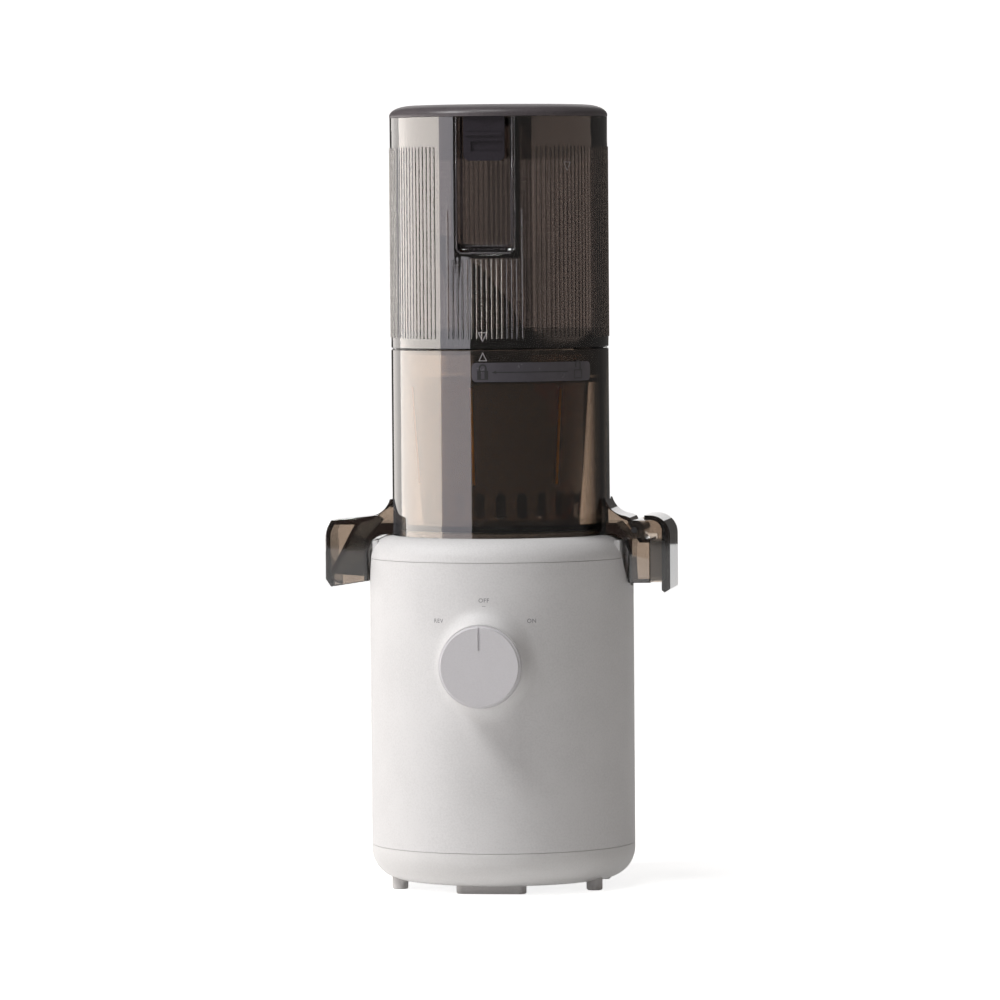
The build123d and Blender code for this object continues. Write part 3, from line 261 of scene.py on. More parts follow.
@dataclass(frozen=True)
class ClearPlastic:
    """Tinted clear plastic: it darkens with the length of the way through it.

    The tint is what one millimetre lets through, haze is the share of the
    surface that scatters light instead of passing it, and rim is painted shade:
    the share of the surface colour kept where the wall is seen edge on, darkened
    there in place of the dark edges that light gives a clear wall.
    """

    name: str
    tint: Colour
    haze: float = 0.01
    roughness: float = 0.03
    index: float = 1.5
    skin: Colour = linear("e4ddd6")
    rim_shade: float = 0.01
    rim_shade_start: float = 0.52
    rim_shade_end: float = 0.68
    flow: float = 14 * MM
    flow_stretch: Stretch = (1, 1, 0.35)
    ripple: float = 0.012 * MM
    sheen_drift: float = 0.4

    def build(self) -> Material:
        """Make the material.

        Returns:
            The material.
        """
        bench = NodeBench(self.name)
        bench.set(IOR=self.index, Transmission_Weight=1.0 - self.haze)
        flow = bench.noise(self.flow, detail=1.5, stretch=self.flow_stretch)
        # painted shade: the surface colour darkens where the wall is seen edge on
        rim_shade_mask = bench.add("ShaderNodeLayerWeight", Blend=0.5).outputs["Facing"]
        bench.vary_colour(rim_shade_mask, self.skin, shade(self.skin, self.rim_shade), self.rim_shade_start, self.rim_shade_end)
        drift = self.roughness * self.sheen_drift
        bench.vary_roughness(flow, self.roughness - drift, self.roughness + drift)
        bench.bump(flow, self.ripple)
        losses = [-math.log(part) / MM for part in self.tint]
        density = max(losses)
        body = bench.add("ShaderNodeVolumeAbsorption", Density=density,
                         Color=(*(1 - loss / density for loss in losses), 1))
        feed(bench.tree, bench.output.inputs["Volume"], body.outputs["Volume"])
        return bench.material


@dataclass(frozen=True)
class Metal:
    """Turned, drawn or stamped metal with fine scratches along one axis."""

    name: str
    colour: Colour
    roughness: float = 0.3
    stretch: Stretch = (1, 1, 0.12)
    scratch: float = 0.5 * MM
    depth: float = 0.01 * MM
    fleck: float = 0.84
    sheen_drift: Span = (-0.08, 0.12)

    def build(self) -> Material:
        """Make the material.

        Returns:
            The material.
        """
        bench = NodeBench(self.name)
        bench.set(Metallic=1.0)
        scratch = bench.noise(self.scratch, detail=4.0, stretch=self.stretch)
        bench.vary_colour(scratch, shade(self.colour, self.fleck), self.colour)
        bench.vary_roughness(scratch, *(self.roughness + drift for drift in self.sheen_drift))
        bench.bump(scratch, self.depth)
        return bench.material


@dataclass(frozen=True)
class Stacked:
    """A stack of stamped sheets or wound wire: fine lines across one axis."""

    name: str
    colour: Colour
    gap: Colour
    pitch: float
    metallic: float = 1.0
    roughness: float = 0.38
    gap_roughness: float = 0.58
    gap_ends: Span = (0.1, 0.5)
    wobble: float = 0.6
    wobble_detail: float = 0.02
    depth: float = 0.12 * MM

    def build(self) -> Material:
        """Make the material.

        Returns:
            The material.
        """
        bench = NodeBench(self.name)
        bench.set(Metallic=self.metallic)
        wave = bench.add("ShaderNodeTexWave", bands_direction="Z", Scale=WAVE_BAND / self.pitch,
                         Distortion=self.wobble, Detail_Scale=self.wobble_detail,
                         Vector=bench.place()).outputs["Fac"]
        bench.vary_colour(wave, self.gap, self.colour, *self.gap_ends)
        bench.vary_roughness(wave, self.gap_roughness, self.roughness)
        bench.bump(wave, self.depth)
        return bench.material


@dataclass(frozen=True)
class Laminate:
    """Circuit board: lacquer over copper tracks."""

    name: str
    lacquer: Colour
    track: Colour
    cells: float = 220.0
    track_share: float = 0.03
    roughness: Span = (0.3, 0.2)
    fleck: float = 0.8
    depth: float = 0.04 * MM

    def build(self) -> Material:
        """Make the material.

        Returns:
            The material.
        """
        bench = NodeBench(self.name)
        cells = bench.add("ShaderNodeTexBrick", Scale=self.cells, Mortar_Size=self.track_share,
                          Color1=(*self.lacquer, 1), Color2=(*shade(self.lacquer, self.fleck), 1),
                          Mortar=(*self.track, 1), Vector=bench.place((1, 0, 1)))
        bench.set(Base_Color=cells.outputs["Color"])
        bench.vary_roughness(cells.outputs["Fac"], *self.roughness)
        bench.bump(cells.outputs["Fac"], self.depth)
        return bench.material


@dataclass(frozen=True)
class Ink:
    """Pad-printed ink, a little uneven."""

    name: str
    colour: Colour
    patch: float = 0.5 * MM
    fleck: float = 0.85
    roughness: Span = (0.45, 0.6)

    def build(self) -> Material:
        """Make the material.

        Returns:
            The material.
        """
        bench = NodeBench(self.name)
        patch = bench.noise(self.patch, detail=2.0)
        bench.vary_colour(patch, shade(self.colour, self.fleck), self.colour)
        bench.vary_roughness(patch, *self.roughness)
        return bench.material


class Finish(Enum):
    """Every finish on the machine."""

    WHITE = GrainedPlastic("white_shell", linear("e4e3e3"), 0.55)
    COVER = GrainedPlastic("white_cover", linear("e4e3e2"), 0.5, fleck=0.95)
    DIAL = GrainedPlastic("dial_grey", linear("d9d7da"), 0.42, grain=0.6 * MM, depth=0.02 * MM, fleck=0.96)
    CHARCOAL = GrainedPlastic("charcoal_lid", linear("5c5659"), 0.38, fleck=0.75)
    BLACK = GrainedPlastic("black_screw", linear("161312"), 0.25, depth=0.012 * MM, fleck=0.8)
    MOTOR_BLACK = GrainedPlastic("black_moulding", linear("1d1b1c"), 0.45, fleck=0.8)
    DARK_RUBBER = GrainedPlastic("dark_rubber", linear("1c1a1a"), 0.6, fleck=0.8)
    FOOT_RUBBER = GrainedPlastic("foot_rubber", linear("d0cecd"), 0.7)
    GEAR = GrainedPlastic("gear_plastic", linear("e6dfcf"), 0.45)
    CAPACITOR = GrainedPlastic("capacitor_blue", linear("22386b"), 0.3)
    PLATE = GrainedPlastic("lock_plate_grey", linear("4c494f"), 0.25, grain=6 * MM, depth=0.004 * MM)
    SMOKE = ClearPlastic("smoky_hopper", (0.60, 0.58, 0.58), index=1.85)
    # painted shade: the bowl's colour darkens early and nearly to black towards its edges
    BOWL = ClearPlastic("smoky_bowl", (0.855, 0.825, 0.795), index=1.75, rim_shade_start=0.3, rim_shade_end=0.6)
    SKIRT = ClearPlastic("smoky_skirt", (0.72, 0.70, 0.70))
    SILICONE = ClearPlastic("smoky_silicone", (0.72, 0.68, 0.64), haze=0.3, roughness=0.35, index=1.42)
    AMBER = ClearPlastic("amber_strainer", (0.62, 0.47, 0.18), haze=0.06, roughness=0.06,
                         skin=linear("c07a1c"), rim_shade=0.6)
    # painted glints: opaque bright amber for the thin ribs on the strainer
    AMBER_GLINT_RIB = GrainedPlastic("amber_glint_rib", linear("f0a828"), 0.3, depth=0.01 * MM)
    # painted shade: near-black clear sheets that darken the pulp chute
    CHUTE_SHADE = ClearPlastic("painted_chute_shade", (0.18, 0.17, 0.18))
    LIP = ClearPlastic("smoky_lip", (0.75, 0.73, 0.73), haze=0.25, roughness=0.15,
                       skin=linear("8a8488"), rim_shade=0.5)
    DARK_TAB = GrainedPlastic("dark_tab", linear("302c32"), 0.22, depth=0.01 * MM, fleck=0.9)
    BOARD = Laminate("board_green", linear("1f4f30"), linear("8a6a3a"))
    STEEL = Metal("bright_steel", linear("c4c4c8"))
    BRONZE = Metal("bush_bronze", linear("b08a52"), 0.4)
    COPPER = Stacked("coil_copper", linear("b4673a"), linear("4a2412"), 0.9 * MM)
    LAMINATIONS = Stacked("stacked_steel", linear("9a9aa0"), linear("4a4a50"), 0.7 * MM)
    GREY_INK = Ink("grey_ink", linear("8d8a8f"))
    BLACK_INK = Ink("black_ink", linear("100e10"))
    PALE_INK = Ink("pale_ink", linear("a9a5a8"))


MATERIALS: dict[Finish, Material] = {}


def material(finish: Finish) -> Material:
    """Return a finish's material, made the first time it is asked for.

    Args:
        finish: the finish.

    Returns:
        Its material.
    """
    if finish not in MATERIALS:
        MATERIALS[finish] = finish.value.build()
    return MATERIALS[finish]


def dress(frame: dict, wear: dict[Finish, str]) -> None:
    """Give solids of the frame their finishes.

    Args:
        wear: the names of the nodes that take each finish, set apart by spaces.
    """
    for finish, names in wear.items():
        for name in names.split():
            mesh = frame["nodes"][name].data
            mesh.materials.clear()
            mesh.materials.append(material(finish))
            LOG.info("dressed %s as %s", name, finish.name)


def stand(name: str, data: bpy.types.ID) -> bpy.types.Object:
    """Put a mesh, curve, lamp or camera in the scene.

    Args:
        name: the new object's name.
        data: what it shows.

    Returns:
        The object.
    """
    thing = bpy.data.objects.new(name, data)
    bpy.context.collection.objects.link(thing)
    return thing


def settle(name: str, mesh: Mesh, body: str) -> bpy.types.Object:
    """Stand a finished mesh in the scene and let it ride.

    Args:
        name: the piece's name.
        mesh: its mesh, already in place.
        body: the body that it rides on.

    Returns:
        The new object.
    """
    mesh.name = name
    piece = stand(name, mesh)
    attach(piece, body)
    LOG.info("added %s to %s", name, body)
    return piece


# --- marks


@dataclass
class MarkSheet:
    """Printed or engraved marks wrapped round the machine's upright axis."""

    axis: Vector
    radius: float
    turn: float = 0.0
    height: float = 0.0
    build: Build = field(default_factory=bmesh.new)

    def at(self, turn: float, height: float) -> MarkSheet:
        """Choose where the next marks have their middle.

        Args:
            turn: its angle from the front, in degrees.
            height: its height.

        Returns:
            The sheet itself.
        """
        self.turn, self.height = math.radians(turn), height
        return self

    def spot(self, point: Point) -> Vector:
        """Find where a point across and up from the marks' middle lies in space.

        Args:
            point: the point.

        Returns:
            Its place on the round surface.
        """
        angle = self.turn + point[0] / self.radius
        across = Vector((math.sin(angle), -math.cos(angle), 0)) * self.radius
        return self.axis + across + Vector((0, 0, self.height + point[1]))

    def fill(self, points: Sequence[Point]) -> None:
        """Fill a convex outline with one face that looks away from the axis.

        Args:
            points: the outline's corners, across and up.
        """
        face = self.build.faces.new([self.build.verts.new(self.spot(point)) for point in points])
        face.normal_update()
        outward = face.calc_center_median() - self.axis
        outward.z = 0
        if face.normal.dot(outward) < 0:
            face.normal_flip()

    def stroke(self, points: Sequence[Point], width: float, closed: bool = False) -> None:
        """Draw a line of even width through points, mitred at its corners.

        Args:
            points: the line's points, across and up.
            width: the line's width.
            closed: whether it returns to its first point.
        """
        path = [Vector(point) for point in points]
        count = len(path)
        sides: list[tuple[Vector, Vector]] = []
        for index, point in enumerate(path):
            before = path[index - 1] if closed or index else point
            after = path[(index + 1) % count] if closed or index < count - 1 else point
            runs = [run.normalized() for run in (point - before, after - point) if run.length > 0]
            along = sum(runs, Vector((0, 0))).normalized()
            normal = Vector((-along.y, along.x))
            reach = width / 2 / max(SHARPEST_MITRE, normal.dot(Vector((-runs[0].y, runs[0].x))))
            sides.append((point + normal * reach, point - normal * reach))
        pairs = list(zip(sides, sides[1:] + sides[:1])) if closed else list(zip(sides, sides[1:]))
        for (left, right), (next_left, next_right) in pairs:
            self.fill([tuple(corner) for corner in (left, next_left, next_right, right)])

    def write(self, text: str, size: float) -> None:
        """Set a short word, centred.

        Args:
            text: the word.
            size: height of its letters' body.
        """
        curve = bpy.data.curves.new("word", "FONT")
        curve.body = text
        curve.size = size
        curve.space_character = LETTER_SPACING
        curve.align_x = "CENTER"
        curve.align_y = "CENTER"
        holder = stand("word", curve)
        flat = bpy.data.meshes.new_from_object(holder)
        for polygon in flat.polygons:
            self.fill([tuple(flat.vertices[index].co[:2]) for index in polygon.vertices])
        bpy.data.meshes.remove(flat)
        bpy.data.objects.remove(holder)
        bpy.data.curves.remove(curve)

    def finish(self, name: str, finish: Finish, body: str, slot: str) -> bpy.types.Object:
        """Turn the sheet into a piece, as settle does with a mesh."""
        return settle(name, to_mesh(self.build, finish), body)


def arc(centre: Point, radius: float, start: float, end: float, steps: int = 8) -> list[Point]:
    """Return points along an arc of so many steps between two angles in degrees."""
    turns = [math.radians(start + (end - start) * step / steps) for step in range(steps + 1)]
    return [(centre[0] + radius * math.cos(turn), centre[1] + radius * math.sin(turn)) for turn in turns]


def sweep(build: Build, path: Sequence[Vector], radius: float, sides: int = 8) -> None:
    """Add a round bar along a path, with closed ends.

    Args:
        build: the mesh that takes it.
        path: the bar's middle line.
        radius: the bar's radius.
        sides: how many faces go round it.
    """
    rings: list[list[bmesh.types.BMVert]] = []
    across = (path[1] - path[0]).orthogonal()
    for index, point in enumerate(path):
        along = (path[min(index + 1, len(path) - 1)] - path[max(index - 1, 0)]).normalized()
        across = (across - along * across.dot(along)).normalized()
        upright = along.cross(across)
        turns = [math.tau * side / sides for side in range(sides)]
        spokes = [across * math.cos(turn) + upright * math.sin(turn) for turn in turns]
        rings.append([build.verts.new(point + spoke * radius) for spoke in spokes])
    for ring, after in zip(rings, rings[1:]):
        for side in range(sides):
            step = (side + 1) % sides
            build.faces.new((ring[side], ring[step], after[step], after[side])).smooth = True
    build.faces.new(rings[0][::-1])
    build.faces.new(rings[-1])


def prism(build: Build, outline: Sequence[Point], front: float, back: float) -> None:
    """Add a closed prism whose outline lies in the XZ plane.

    Args:
        build: the mesh that takes it.
        outline: its corners, X and Z.
        front: its lower Y.
        back: its upper Y.
    """
    near, far = ([build.verts.new((x, y, z)) for x, z in outline] for y in (front, back))
    faces = [build.faces.new(near), build.faces.new(far[::-1])]
    for index in range(len(outline)):
        after = (index + 1) % len(outline)
        faces.append(build.faces.new((near[after], near[index], far[index], far[after])))
    bmesh.ops.recalc_face_normals(build, faces=faces)


def to_mesh(build: Build, finish: Finish) -> Mesh:
    """Turn a build into a mesh that wears one finish.

    Args:
        build: the build, freed afterwards.
        finish: its finish.

    Returns:
        The mesh.
    """
    mesh = bpy.data.meshes.new("draft")
    build.to_mesh(mesh)
    build.free()
    mesh.materials.append(material(finish))
    return mesh


def smooth(mesh: Mesh) -> None:
    """Smooth a mesh between its creases, in place of any normals stored with it.

    Args:
        mesh: the mesh.
    """
    stored = mesh.attributes.get("custom_normal")
    if stored is not None:
        mesh.attributes.remove(stored)
    mesh.shade_smooth()
    mesh.set_sharp_from_angle(angle=CREASE)


def merged_copy(frame: dict, node: str) -> Mesh:
    """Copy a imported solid's mesh with its loose corners joined.

    Args:
        node: the solid's name.

    Returns:
        The joined mesh, without materials.
    """
    mesh = frame["nodes"][node].data.copy()
    build = bmesh.new()
    build.from_mesh(mesh)
    bmesh.ops.remove_doubles(build, verts=build.verts, dist=WELD_GAP)
    open_edges = sum(1 for edge in build.edges if not edge.is_manifold)
    build.to_mesh(mesh)
    build.free()
    mesh.materials.clear()
    smooth(mesh)
    LOG.info("%s copy: %d faces, %d open edges", node, len(mesh.polygons), open_edges)
    return mesh


def bake(draft: bpy.types.Object) -> Mesh:
    """Apply a draft's modifiers and take the draft away.

    Args:
        draft: the draft, standing in the scene.

    Returns:
        Its mesh with the modifiers applied.
    """
    ready = draft.evaluated_get(bpy.context.evaluated_depsgraph_get())
    mesh = bpy.data.meshes.new_from_object(ready)
    bpy.data.objects.remove(draft)
    return mesh


# --- sub-assemblies


@dataclass
class BaseHousing:
    """White drum base with its feet, cord gland and the dial's scale."""

    frame: dict
    axis: Vector
    radius: float = 66 * MM
    film: float = 0.06 * MM
    dial_height: float = 114.7 * MM
    scale_turn: float = 20.5
    letter: float = 2.9 * MM
    off_rise: float = 31.5 * MM
    side_rise: float = 21.3 * MM
    tick_rise: float = 28.0 * MM
    tick_width: float = 1.7 * MM
    tick_height: float = 0.8 * MM

    def dress(self) -> None:
        """Give the housing's nodes their finishes."""
        dress(self.frame, {
            Finish.WHITE: "base_shell top_cover",
            Finish.COVER: "bottom_cover",
            Finish.FOOT_RUBBER: "rubber_feet front_foot",
            Finish.DARK_RUBBER: "cord_gland deck_seal",
            Finish.STEEL: "cover_screws",
        })

    def add_scale(self) -> None:
        """Print the dial's three positions and the tick above it."""
        sheet = MarkSheet(self.axis, self.radius + self.film)
        sheet.at(0, self.dial_height + self.off_rise).write("OFF", self.letter)
        sheet.at(self.scale_turn, self.dial_height + self.side_rise).write("ON", self.letter)
        sheet.at(-self.scale_turn, self.dial_height + self.side_rise).write("REV", self.letter)
        half = self.tick_width / 2
        tick = [(-half, 0), (half, 0), (half, self.tick_height), (-half, self.tick_height)]
        sheet.at(0, self.dial_height + self.tick_rise).fill(tick)
        sheet.finish("dial_scale", Finish.GREY_INK, "base", "white_plastic")

    def build(self) -> None:
        """Dress the housing and add its scale."""
        self.dress()
        self.add_scale()


@dataclass
class DriveTrain:
    """Motor, gears and switch inside the base, with the dial on its spindle."""

    frame: dict

    def build(self) -> None:
        """Give every working piece its finish."""
        dress(self.frame, {
            Finish.MOTOR_BLACK: "gearbox_housing gearbox_cover rotary_switch motor_fan",
            Finish.GEAR: "output_gear compound_gear",
            Finish.STEEL: "gear_axle gearbox_screws drive_shaft gear_key motor_can "
            "motor_pinion motor_screws switch_spindle switch_nut",
            Finish.LAMINATIONS: "motor_stator motor_rotor",
            Finish.BRONZE: "shaft_bushes",
            Finish.COPPER: "field_coils",
            Finish.BOARD: "control_board",
            Finish.CAPACITOR: "capacitor",
            Finish.DIAL: "dial",
        })


@dataclass
class Bowl:
    """Clear bowl with its lock plate, juice cap and seals."""

    frame: dict
    axis: Vector
    plate_radius: float = 55.1 * MM
    wall_radius: float = 54.5 * MM
    film: float = 0.08 * MM
    plate_middle: float = 258.0 * MM
    lock_turn: float = -1.2
    open_turn: float = 52.0
    lock_half: float = 2.5 * MM
    lock_foot: float = -3.4 * MM
    lock_top: float = 0.6 * MM
    lock_bar: float = 0.9 * MM
    bow_radius: float = 1.6 * MM
    bow_rise: float = 1.5 * MM
    bow_line: float = 0.8 * MM
    open_lift: float = 1.4 * MM
    arrow_start: float = 3.5
    arrow_end: float = 45.0
    arrow_head: float = 2.2 * MM
    arrow_half: float = 0.8 * MM
    arrow_steps: int = 12
    line: float = 0.45 * MM
    mark_height: float = 265.6 * MM
    mark_half: float = 1.9 * MM
    mark_line: float = 0.35 * MM
    spout_back: float = 67.7 * MM
    slope_top: Point = (69.5 * MM, 182 * MM)
    slope_foot: Point = (82.5 * MM, 156.5 * MM)
    spout_side: float = 15 * MM
    skin: float = 2 * MM
    core_lead: float = 2.7 * MM
    core_roof: float = 0.8 * MM
    core_bevel: float = 5 * MM
    core_floor: float = 1.5 * MM
    shade_sheet: float = 2.6 * MM
    shade_sheet_gap: float = 0.15 * MM
    shade_sheet_peak: Point = (5 * MM, 1.8 * MM)
    shade_sheet_neck: float = 7 * MM
    shade_sheet_hem: float = 9 * MM
    shade_sheet_drop: float = 1 * MM

    def dress(self) -> None:
        """Give the bowl's nodes their finishes."""
        dress(self.frame, {
            Finish.BOWL: "juice_cap",
            Finish.PLATE: "lock_plate",
            Finish.SILICONE: "cap_seal",
            Finish.DARK_RUBBER: "bowl_packing",
            Finish.MOTOR_BLACK: "cap_pins",
        })

    def spout_hollow(self) -> Mesh:
        """Make the wedge of air behind the sloping wall of the pulp spout.

        Returns:
            Its mesh, closed.
        """
        far = self.slope_foot[0] + self.skin
        roof = self.slope_top[1] - self.core_roof
        outline = [(-self.slope_top[0] - self.core_lead, roof), (-far + self.skin, roof),
                   (-far, self.slope_top[1] - self.core_bevel), (-far, self.slope_foot[1] + self.core_floor)]
        build = bmesh.new()
        reach = self.spout_side - self.skin
        prism(build, outline, self.axis.y - reach, self.axis.y + reach)
        return to_mesh(build, Finish.BOWL)

    def add_moulding(self) -> None:
        """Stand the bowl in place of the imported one, its pulp spout cored out."""
        mesh = merged_copy(self.frame, "bowl")
        mesh.materials.append(material(Finish.BOWL))
        draft = stand("bowl_draft", mesh)
        hollow = stand("spout_hollow", self.spout_hollow())
        cut = draft.modifiers.new("core", "BOOLEAN")
        cut.operation = "DIFFERENCE"
        cut.solver = "EXACT"
        cut.object = hollow
        moulding = bake(draft)
        bpy.data.objects.remove(hollow)
        smooth(moulding)
        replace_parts(settle("bowl_moulding", moulding, "bowl_set"), "bowl")

    def add_chute_shade(self) -> None:
        """Cover both cheeks of the pulp chute with near-black clear sheets: painted shade that darkens the
        chute.
        """
        gap, back = self.shade_sheet_gap, self.spout_back
        top, foot = self.slope_top, self.slope_foot
        peak = (self.shade_sheet_peak[0] - back, self.shade_sheet_peak[1] + top[1])
        outline = [peak, (gap - top[0], top[1] - gap), (gap - foot[0], foot[1]),
                   (-back - gap, foot[1] - self.shade_sheet_drop), (-back - gap, top[1] - self.shade_sheet_hem),
                   (self.shade_sheet_neck - back, top[1] + gap)]
        build = bmesh.new()
        outer = self.spout_side - self.skin - gap
        prism(build, outline, self.axis.y - outer, self.axis.y - outer + self.shade_sheet)
        prism(build, outline, self.axis.y + outer - self.shade_sheet, self.axis.y + outer)
        settle("chute_shade_sheets", to_mesh(build, Finish.CHUTE_SHADE), "bowl_set")

    def draw_padlock(self, sheet: MarkSheet, turn: float, is_open: bool) -> None:
        """Draw a padlock, its shackle shut or swung up.

        Args:
            sheet: the sheet that takes the mark.
            turn: its angle from the front, in degrees.
            is_open: whether the shackle stands open.
        """
        half, bar, bow = self.lock_half, self.lock_bar, self.bow_radius
        foot, top = self.lock_foot, self.lock_top
        lift = self.open_lift if is_open else 0.0
        body = [(-half, foot), (half, foot), (half, top), (-half, top)]
        shackle = [(bow, top), *arc((0, top + self.bow_rise + lift), bow, 0, 180), (-bow, top + lift)]
        sheet.at(turn, self.plate_middle).stroke(body, self.line, closed=True)
        if not is_open:
            sheet.fill([(-half, foot), (-bar, foot), (-bar, top), (-half, top)])
            sheet.fill([(bar, foot), (half, foot), (half, top), (bar, top)])
        sheet.stroke(shackle, self.bow_line)

    def draw_arrow(self, sheet: MarkSheet) -> None:
        """Draw the long arrow from open to locked.

        Args:
            sheet: the sheet that takes the mark.
        """
        tip, half = self.arrow_head, self.arrow_half
        reach = math.radians(self.arrow_end - self.arrow_start) * sheet.radius - tip
        shaft = [(tip + reach * step / self.arrow_steps, 0) for step in range(self.arrow_steps + 1)]
        sheet.at(self.arrow_start, self.plate_middle).stroke(shaft, self.line)
        sheet.fill([(0, 0), (tip, -half), (tip, half)])

    def add_marks(self) -> None:
        """Print the lock plate and engrave the mark above it."""
        plate = MarkSheet(self.axis, self.plate_radius + self.film)
        self.draw_padlock(plate, self.lock_turn, is_open=False)
        self.draw_padlock(plate, self.open_turn, is_open=True)
        self.draw_arrow(plate)
        plate.finish("lock_marks", Finish.BLACK_INK, "bowl_set", "plate_black")
        wall = MarkSheet(self.axis, self.wall_radius + self.film)
        half = self.mark_half
        point_up = [(-half, -half), (half, -half), (0, half)]
        wall.at(self.lock_turn, self.mark_height).stroke(point_up, self.mark_line, closed=True)
        wall.finish("bowl_mark", Finish.PALE_INK, "bowl_set", "smoky_clear")

    def build(self) -> None:
        """Dress the bowl, core its spout, darken its chute with painted shade and add its marks."""
        self.dress()
        self.add_moulding()
        self.add_chute_shade()
        self.add_marks()


@dataclass
class Press:
    """Amber strainer and black auger."""

    frame: dict
    axis: Vector
    ribs: int = 6
    first_rib: float = -11.0
    rib_radius: float = 0.7 * MM
    foot_radius: float = 39.7 * MM
    mouth_radius: float = 44.3 * MM
    foot: float = 202 * MM
    mouth: float = 250 * MM
    wall_foot: float = 182 * MM

    def on_wall(self, turn: float, height: float) -> Vector:
        """Find a point of the strainer's wall.

        Args:
            turn: its angle from the front, in degrees.
            height: its height.

        Returns:
            The point.
        """
        share = (height - self.wall_foot) / (self.mouth - self.wall_foot)
        radius = self.foot_radius + (self.mouth_radius - self.foot_radius) * share
        angle = math.radians(turn)
        return self.axis + Vector((math.sin(angle) * radius, -math.cos(angle) * radius, height))

    def add_ribs(self) -> None:
        """Stand the thin ribs up the outside of the strainer's cone, in opaque bright amber that paints
        their glints.
        """
        build = bmesh.new()
        for number in range(self.ribs):
            turn = self.first_rib + 360 * number / self.ribs
            sweep(build, [self.on_wall(turn, self.foot), self.on_wall(turn, self.mouth)], self.rib_radius)
        settle("strainer_glint_ribs", to_mesh(build, Finish.AMBER_GLINT_RIB), "bowl_set")

    def build(self) -> None:
        """Give the pressing pieces their finishes and add the strainer's ribs, painted bright as glints."""
        dress(self.frame, {
            Finish.AMBER: "strainer",
            Finish.BLACK: "auger",
            Finish.STEEL: "auger_socket",
        })
        self.add_ribs()


@dataclass
class RibTree:
    """Geometry nodes that weld a row of upright ribs to a round wall."""

    name: str = "wall_ribs"
    sides: int = 10

    def face(self, tree: Tree) -> dict[str, Socket]:
        """Give the tree its named inputs and its output.

        Args:
            tree: the tree.

        Returns:
            The input sockets inside the tree, by name.
        """
        face = tree.interface
        face.new_socket("Geometry", in_out="OUTPUT", socket_type="NodeSocketGeometry")
        face.new_socket("Geometry", in_out="INPUT", socket_type="NodeSocketGeometry")
        face.new_socket("Ribs", in_out="INPUT", socket_type="NodeSocketInt")
        for name in ("First Angle", "Pitch", "Wall Radius", "Rib Radius", "Foot", "Top", "Axis Y"):
            face.new_socket(name, in_out="INPUT", socket_type="NodeSocketFloat")
        face.new_socket("Finish", in_out="INPUT", socket_type="NodeSocketMaterial")
        entry = add_node(tree, "NodeGroupInput")
        return {socket.name: socket for socket in entry.outputs if socket.name}

    def build(self) -> Tree:
        """Make the tree.

        Returns:
            The geometry node tree.
        """
        tree = bpy.data.node_groups.new(self.name, "GeometryNodeTree")
        given = self.face(tree)
        add, work = partial(add_node, tree), partial(work_out, tree)
        number = add("GeometryNodeInputIndex").outputs[0]
        angle = work("ADD", work("MULTIPLY", number, given["Pitch"]), given["First Angle"])
        across = work("MULTIPLY", work("SINE", angle), given["Wall Radius"])
        back = work("MULTIPLY", work("COSINE", angle), given["Wall Radius"])
        depth = work("SUBTRACT", given["Axis Y"], back)
        middle = work("MULTIPLY", work("ADD", given["Foot"], given["Top"]), 0.5)
        length = work("SUBTRACT", given["Top"], given["Foot"])
        place = add("ShaderNodeCombineXYZ", X=across, Y=depth, Z=middle).outputs["Vector"]
        row = add("GeometryNodeMeshLine", Count=given["Ribs"]).outputs["Mesh"]
        spread = add("GeometryNodeSetPosition", Geometry=row, Position=place).outputs["Geometry"]
        rib = add("GeometryNodeMeshCylinder", Vertices=self.sides, Radius=given["Rib Radius"],
                  Depth=length).outputs["Mesh"]
        turn = add("ShaderNodeCombineXYZ", Z=angle).outputs["Vector"]
        upright = add("GeometryNodeInstanceOnPoints", Points=spread, Instance=rib, Rotation=turn)
        ribs = add("GeometryNodeRealizeInstances", Geometry=upright.outputs["Instances"])
        weld = add("GeometryNodeMeshBoolean", operation="UNION", solver="EXACT")
        for solid in (given["Geometry"], ribs.outputs["Geometry"]):
            feed(tree, weld.inputs["Mesh 2"], solid)
        self.close(tree, weld.outputs["Mesh"], given["Finish"])
        return tree

    def close(self, tree: Tree, solid: Socket, finish: Socket) -> None:
        """Smooth the solid between its creases and end the tree.

        Args:
            tree: the tree.
            solid: the welded solid.
            finish: the material that it takes.
        """
        bend = add_node(tree, "GeometryNodeInputMeshEdgeAngle").outputs["Unsigned Angle"]
        sharp = work_out(tree, "GREATER_THAN", bend, CREASE)
        for kind, values in (
            ("GeometryNodeSetShadeSmooth", {"domain": "FACE", "Shade_Smooth": True}),
            ("GeometryNodeSetShadeSmooth", {"domain": "EDGE", "Shade_Smooth": False, "Selection": sharp}),
            ("GeometryNodeRealizeInstances", {}),
            ("GeometryNodeSetMaterial", {"Material": finish}),
        ):
            solid = add_node(tree, kind, Geometry=solid, **values).outputs["Geometry"]
        add_node(tree, "NodeGroupOutput", Geometry=solid)


@dataclass(frozen=True)
class RibRow:
    """One row of ribs: how many, where it starts and how far up it goes."""

    count: int
    first: float
    top: float


